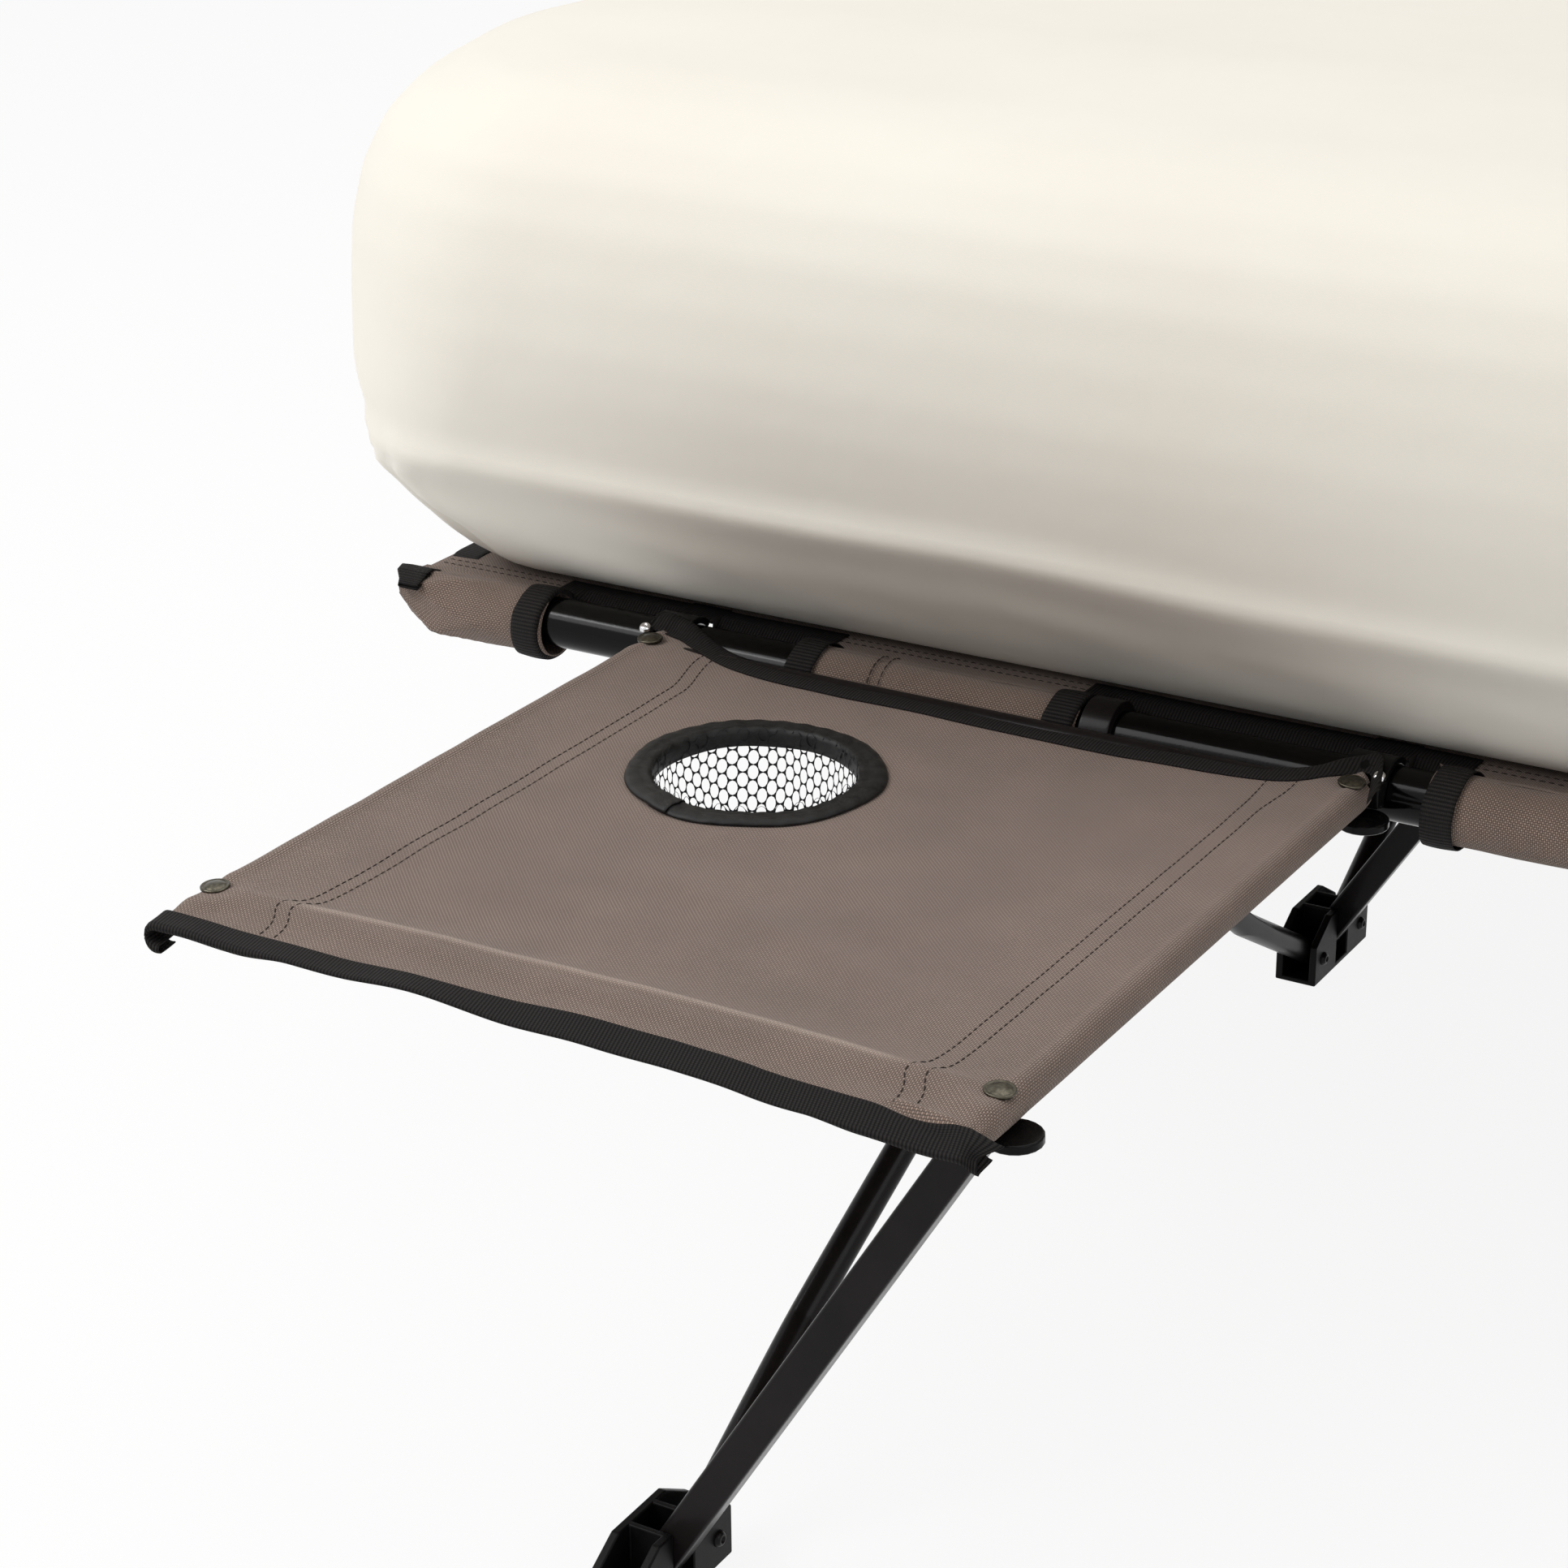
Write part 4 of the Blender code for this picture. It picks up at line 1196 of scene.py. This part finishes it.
def make_sleeve_seam(side, rail_y, way):
    """Two rows of stitching down the middle of the short sleeve beside the table."""
    for number, shift in enumerate((-0.003, 0.003), start=1):
        above = CLOTH + STITCH_RADIUS * 0.9
        turns = [radians(degrees) for degrees in span(-300, 0, 109)]
        path = [on_sleeve(SEAM_X + shift, turn, rail_y, way, above) for turn in turns]
        make_stitches(f"{side}_sleeve_seam_{number}", path, "frame")


def make_deck_stitching(side, rail_y, way):
    """The rows of stitching that close each sleeve along the deck's edge."""
    for name, low, high in SLEEVES:
        for number, inset in enumerate((0.0215, 0.0275), start=1):
            y = rail_y + way * inset
            places = span(low + 0.004, high - 0.004, max(int((high - low) / 0.01), 4))
            above = CLOTH / 2 + STITCH_RADIUS * 0.3
            path = [Vector((x, y, deck_height(x, y) + above)) for x in places]
            make_stitches(f"{side}_{name}_stitching_{number}", path, "frame")


def make_sleeves():
    for side, rail_y, way in RAILS:
        for name, low, high in SLEEVES:
            make_sleeve(side, rail_y, way, name, low, high)
            ends = [x for x in (low, high) if x not in (DECK_LOW.x, DECK_HIGH.x)]
            for number, x in enumerate(ends, start=1):
                inward = -1 if x == high else 1
                make_sleeve_binding(f"{side}_{name}_binding_{number}", x, inward, rail_y, way)
        make_sleeve_seam(side, rail_y, way)
        make_deck_stitching(side, rail_y, way)


# The deck

BAR_PLACES = [box_middle(name, "x") for name in frame["nodes"] if name.endswith("_bar")]


def deck_height(x, y):
    """The deck's cloth dips a little between the rails and the bars that it lies on."""
    inside = smooth(0.0, 0.05, min(y - RAIL_Y, FAR_RAIL_Y - y) - DECK_EDGE)
    held = max(bump(x, bar, 0.045) for bar in BAR_PLACES)
    return DECK_TOP - (0.0012 * inside - 0.0004 * ripple(x, y, 0.09, 2.2)) * (1 - held)


def bare_rail(x):
    """1 along the stretches where no sleeve covers the rail."""
    ends = [(low, high) for _, low, high in SLEEVES]
    return 1 - max(plateau(low - 0.004, low + 0.002, high - 0.002, high + 0.004, x) for low, high in ends)


def folded_edge(edge, inward, width):
    """A binding folded over an edge: pairs of place and height, from its upper layer to its lower."""
    half = CLOTH / 2 + TAPE / 2 + 0.0002
    found = [(edge + inward * width * (1 - step / 5), half) for step in range(6)]
    for degrees in (60, 30, 0, -30, -60):
        turn = radians(degrees)
        found.append((edge - inward * half * cos(turn), half * sin(turn)))
    return found + [(edge + inward * width * step / 5, -half) for step in range(6)]


def make_notch_binding(name, low, high, rail_y, way):
    """Webbing folded over the deck's edge where the rail is bare. It gives way to the hooks."""
    path = span(low - 0.010, high + 0.010, max(int((high - low) / 0.0014), 8))
    edges = (-HOOK_CLEAR, -HOOK_HALF, HOOK_HALF, HOOK_CLEAR)
    path += [hook + reach for hook in HOOK_PLACES for reach in edges if low < hook < high]
    path.sort()
    lines = []
    for x in path:
        hooks = 0.0
        if way == 1:
            hooks = max(1 - smooth(HOOK_HALF, HOOK_CLEAR, abs(x - hook)) for hook in HOOK_PLACES)
        near = smooth(-0.002, 0.012, x - low) * smooth(-0.002, 0.012, high - x)
        edge = 0.0136 + 0.0018 * hooks * near + 0.0003 * sin(x / 0.013)
        sink = -0.0050 * near * (1 - hooks)
        line = []
        for inset, z in folded_edge(edge, 1, BINDING_WIDTH):
            y = rail_y + way * inset
            level = deck_height(x, y) + sink * (1 - smooth(0.013, 0.021, inset))
            line.append(Vector((x, y, level + z)))
        lines.append(line)
    ribbon(name, [Vector((x, rail_y, RAIL_Z)) for x in path], lines, "frame")


def make_end_binding(name, x, way):
    """Webbing folded over the deck's end edge. It ends in a folded tab over each sleeve."""
    path = span(RAIL_Y - 0.017, FAR_RAIL_Y + 0.017, 300)
    lines = []
    for y in path:
        from_end = min(y - path[0], path[-1] - y)
        over = 1 - smooth(0.016, 0.026, from_end)
        tip = 1 - smooth(0.0, 0.013, from_end)
        hidden = bump(from_end, 0.036, 0.011)
        edge = x - way * (0.0050 * over - 0.0085 * tip - 0.0065 * hidden)
        inside = min(max(y, RAIL_Y + DECK_EDGE), FAR_RAIL_Y - DECK_EDGE)
        rise = 0.0045 * over - 0.0045 * tip - 0.0030 * hidden
        line = []
        for place_x, z in folded_edge(edge, way, 0.0150 * (1 + 0.25 * over - 0.55 * tip)):
            line.append(Vector((place_x, y, deck_height(x, inside) + rise + z)))
        lines.append(line)
    ribbon(name, [Vector((x, y, DECK_TOP)) for y in path], lines, "frame")


def make_deck():
    """The deck's cloth, laid over the bars between the two rails, with its bound edges."""
    low = Vector((DECK_LOW.x + 0.001, RAIL_Y + DECK_EDGE, 0))
    high = Vector((DECK_HIGH.x - 0.001, FAR_RAIL_Y - DECK_EDGE, 0))
    columns, rows = 188, 144

    def place(column, row):
        x = mix(low.x, high.x, column / columns)
        inset = 0.0160 * bare_rail(x)
        y = mix(low.y + inset, high.y - inset, row / rows)
        return Vector((x, y, deck_height(x, y))), (x, y)

    mesh = grid("deck_cloth", columns, rows, place)
    cloth = add_piece("deck_cloth", mesh, CANVAS, "frame", ["deck_fabric"])
    thicken(cloth, CLOTH, 0.0)
    for side, rail_y, way in RAILS:
        for number, (before, after) in enumerate(zip(SLEEVES, SLEEVES[1:]), start=1):
            make_notch_binding(f"{side}_notch_binding_{number}", before[2], after[1], rail_y, way)
    for end, x, way in (("head", low.x, 1), ("foot", high.x, -1)):
        make_end_binding(f"{end}_end_binding", x, way)


# The airbed in its sheet


def bed_outline(share, inset, end_inset, corner):
    """A point of the bed's outline, set in from its widest, and the way out there."""
    half_x, half_y = BED_HALF_X - end_inset, BED_HALF_Y - inset
    side, end = 2 * (BED_HALF_X - BED_CORNER), 2 * (BED_HALF_Y - BED_CORNER)
    lengths = [side, pi / 2 * BED_CORNER, end, pi / 2 * BED_CORNER] * 2
    distance = (share % 1.0) * sum(lengths)
    stretch = 0
    while distance > lengths[stretch] and stretch < 7:
        distance -= lengths[stretch]
        stretch += 1
    part = distance / lengths[stretch]
    quarter = stretch // 2
    facing = radians(-90 + 90 * quarter)
    if stretch % 2 == 0:
        out = Vector((cos(facing), sin(facing), 0))
        ahead = Vector((-out.y, out.x, 0))
        reach, along = (half_y, half_x) if quarter % 2 == 0 else (half_x, half_y)
        spot = out * reach + ahead * mix(corner - along, along - corner, part)
    else:
        angle = facing + pi / 2 * part
        out = Vector((cos(angle), sin(angle), 0))
        signs = ((1, -1), (1, 1), (-1, 1), (-1, -1))[quarter]
        middle = Vector((signs[0] * (half_x - corner), signs[1] * (half_y - corner), 0))
        spot = middle + out * corner
    return spot + Vector((BED_X, BED_Y, 0)), out


def bed_rows():
    """The bed's profile in rows of an even height, with its turns eased."""
    rows = []
    for first, last in zip(BED_PROFILE, BED_PROFILE[1:]):
        steps = max(round(dist(first[:2], last[:2]) / BED_ROW), 1)
        for step in range(steps):
            rows.append(tuple(mix(a, b, step / steps) for a, b in zip(first, last)))
    rows.append(BED_PROFILE[-1])
    threes = zip(rows, rows[1:], rows[2:])
    eased = [tuple((a + 2 * b + c) / 4 for a, b, c in zip(*three)) for three in threes]
    return [rows[0], *eased, rows[-1]]


def round_noise(share, height, scale, seed):
    """Soft noise from -1 to 1 on the bed's side. It meets itself after one turn round the bed."""
    angle = 2 * pi * share
    reach = BED_GIRTH / (2 * pi) / scale
    return noise.noise(Vector((reach * cos(angle), reach * sin(angle), height / scale + seed)))


def bed_creases(share, out, height):
    """How far the fitted sheet stands out: a ridge low on the side, and pulls at the corners."""
    corner = (2 * abs(out.x * out.y)) ** 1.3
    wander = 0.005 * sin(10 * pi * share + 1.0) + 0.004 * round_noise(share, 0, 0.17, 5.0)
    level = RIDGE_HEIGHT + wander
    ridge = 0.0050 * bump(height, level, 0.0085) - 0.0042 * bump(height, level - 0.021, 0.012)
    ridge *= 0.75 + 0.25 * round_noise(share, 0, 0.23, 2.0)
    pulls = 0.0034 * round_noise(share + height * 0.35, height * 0.7, 0.075, 4.0)
    pulls *= bump(height, 0.040, 0.030)
    around = atan2(out.y, out.x)
    gathers = sin(around * 17 + height * 22 + 1.5 * ripple(around, height, 0.12, 6.0))
    gathers *= 0.0038 * corner * bump(height, 0.030, 0.040)
    return ridge + pulls + gathers + 0.0028 * round_noise(share, height, 0.30, 1.5)


def top_unevenness(x, y):
    """The top sinks a little between the beams of air, and puckers softly."""
    beams = 0.0016 * (0.5 + 0.5 * cos(2 * pi * (y - BED_Y) / BEAM_PITCH))
    return beams + 0.0016 * (0.5 + 0.5 * ripple(x, y, 0.30, 6.0))


def shaped_bed(columns, swell=None):
    """The bed's skin in rings of points, from the middle of its underside to its top's middle."""
    rows = bed_rows()
    scale = (BED_HIGH.z - BED_LOW.z - 0.0012) / BED_PROFILE[-1][0]
    middle = Vector((BED_X, BED_Y, 0))

    def place(column, row):
        share = column / columns
        height, inset, corner = rows[min(max(row - CAP_ROWS, 0), len(rows) - 1)]
        height *= scale
        tuck = 0.0120 * bump(inset, 0.0155, 0.0065) * (1 - smooth(0.10, 0.15, height))
        point, out = bed_outline(share, inset, inset * END_TUCK + tuck, corner)
        toward = max(1 - row / CAP_ROWS, (row - CAP_ROWS - len(rows) + 1) / CAP_ROWS, 0.0)
        point = point.lerp(middle, toward)
        point.z = BED_BASE + height
        if swell:
            push = bed_creases(share, out, height) * smooth(0.003, 0.02, height)
            push *= 1 - 0.85 * smooth(0.17, 0.26, height)
            point += swell(point) * smooth(0.015, 0.05, height)
            point += out * push * (1 - toward)
            point.z -= top_unevenness(point.x, point.y) * smooth(0.20, 0.262, height)
        return point, (share * BED_GIRTH, height)

    mesh = grid("fitted_sheet", columns, 2 * CAP_ROWS + len(rows) - 1, place, closed=True)
    bm = bmesh.new()
    bm.from_mesh(mesh)
    bmesh.ops.remove_doubles(bm, verts=bm.verts, dist=0.00005)
    bmesh.ops.recalc_face_normals(bm, faces=bm.faces)
    bm.to_mesh(mesh)
    bm.free()
    mesh.shade_smooth()
    return mesh


def evaluated(obj):
    return obj.evaluated_get(bpy.context.evaluated_depsgraph_get())


def even_bed():
    """An even copy of the bed, softly held all over and firmly held under its base."""
    copy = add_object("sheet_copy", shaped_bed(BED_COLUMNS // 2))
    set_all(copy.modifiers.new("even", "REMESH"), mode="VOXEL", voxel_size=SWELL_VOXEL)
    rest = bpy.data.meshes.new_from_object(evaluated(copy))
    copy.modifiers.clear()
    copy.data = rest
    held = copy.vertex_groups.new(name="held")
    for vert in rest.vertices:
        under = vert.co.z < BED_BASE + 0.012
        held.add([vert.index], 1.0 if under else SWELL_HOLD, "REPLACE")
    return copy


def simulated_swell():
    """How the air inside moves the sheet, from a cloth simulation of an even copy of the bed."""
    scene = bpy.context.scene
    copy = even_bed()
    air = set_all(copy.modifiers.new("air", "CLOTH").settings, **AIR)
    air.effector_weights.gravity = 0
    for number in range(1, SWELL_FRAMES + 1):
        scene.frame_set(number)
    moved = [vert.co.copy() for vert in evaluated(copy).data.vertices]
    tree = kdtree.KDTree(len(moved))
    shifts = []
    for vert in copy.data.vertices:
        shift = moved[vert.index] - vert.co
        shifts.append(shift * min(1.0, SWELL_CAP / max(shift.length, 1e-9)))
        tree.insert(vert.co, vert.index)
    tree.balance()
    scene.frame_set(1)
    bpy.data.objects.remove(copy)

    def swell(point):
        near = tree.find_n(point, SWELL_NEIGHBOURS)
        weights = [exp(-((apart / SWELL_SMOOTHING) ** 2)) for _, _, apart in near]
        total = Vector((0, 0, 0))
        for (_, index, _), weight in zip(near, weights):
            total += shifts[index] * weight
        return total / sum(weights)

    return swell


def make_airbed():
    """The airbed in its fitted sheet: a crowned pad whose lower edge tucks in over the rails."""
    mesh = shaped_bed(BED_COLUMNS, simulated_swell())
    bed = add_piece("fitted_sheet", mesh, SHEET, "airbed", ["airbed"])


# The studio


def seen_rays(tree):
    """1 for rays that see a surface straight, by gloss or through glass, 0 for those that light it."""
    rays = node(tree, "LightPath").outputs
    seen = maths(tree, "MAXIMUM", rays["Is Camera Ray"], rays["Is Glossy Ray"])
    return maths(tree, "MAXIMUM", seen, rays["Is Transmission Ray"])


def empty_tree(owner):
    """The node tree of a material or a world, with its nodes taken out."""
    owner.use_nodes = True
    owner.node_tree.nodes.clear()
    return owner.node_tree


def make_floor():
    """A pale floor that glows where it is seen, keeps a soft shadow and is clear from below."""
    bm = bmesh.new()
    bmesh.ops.create_grid(bm, x_segments=1, y_segments=1, size=30)
    floor = add_object("floor", to_mesh("floor", bm))
    floor.location.z = -0.0005
    material = bpy.data.materials.new("pale_floor")
    tree = empty_tree(material)
    matt = node(tree, "BsdfDiffuse", {"Color": (0.92, 0.92, 0.92, 1.0)})
    white = node(tree, "Emission", {"Color": WHITE, "Strength": 1.0})
    share = maths(tree, "MULTIPLY", seen_rays(tree), FLOOR_GLOW)
    both = node(tree, "MixShader", {"Fac": share, 1: matt.outputs[0], 2: white.outputs[0]})
    clear = node(tree, "BsdfTransparent")
    below = node(tree, "NewGeometry").outputs["Backfacing"]
    sides = node(tree, "MixShader", {"Fac": below, 1: both.outputs[0], 2: clear.outputs[0]})
    node(tree, "OutputMaterial", {"Surface": sides.outputs[0]})
    floor.data.materials.append(material)


def make_surround():
    """A white surround that lights the scene less than it shows."""
    surround = bpy.data.worlds.new("surround")
    bpy.context.scene.world = surround
    tree = empty_tree(surround)
    strength = node(tree, "Mix", {0: seen_rays(tree), 2: WORLD_LIGHT, 3: 1.0}).outputs[0]
    ground = node(tree, "Background", {"Color": WHITE, "Strength": strength})
    node(tree, "OutputWorld", {"Surface": ground.outputs[0]})


def make_lamps():
    for name, place, aim, size, power in LAMPS:
        lamp = set_all(bpy.data.lights.new(name, "AREA"), shape="RECTANGLE", energy=power)
        lamp.size, lamp.size_y = size
        turn = (Vector(aim) - Vector(place)).to_track_quat("-Z", "Y").to_euler()
        set_all(add_object(name, lamp), location=place, rotation_euler=turn)


def make_camera():
    data = bpy.data.cameras.new("camera")
    set_all(data, sensor_width=CAMERA_SENSOR, lens=CAMERA_LENS, clip_start=0.05)
    camera = add_object("camera", data)
    right, down, ahead = (Vector(axis).normalized() for axis in (CAMERA_RIGHT, CAMERA_DOWN, CAMERA_AHEAD))
    turn = Matrix((right, -down, -ahead)).transposed()
    camera.matrix_world = Matrix.Translation(CAMERA_PLACE) @ turn.to_4x4()
    bpy.context.scene.camera = camera


dress_frame()
make_table_brace()
make_table_cloth()
make_table_stitching()
make_front_webbing()
make_back_webbing()
make_cup_ring()
make_net_pocket()
make_rivets()
make_bolts()
make_rail_caps()
make_sleeves()
make_deck()
make_airbed()
make_floor()
make_surround()
make_lamps()
make_camera()
bpy.context.scene.view_settings.view_transform = "Standard"
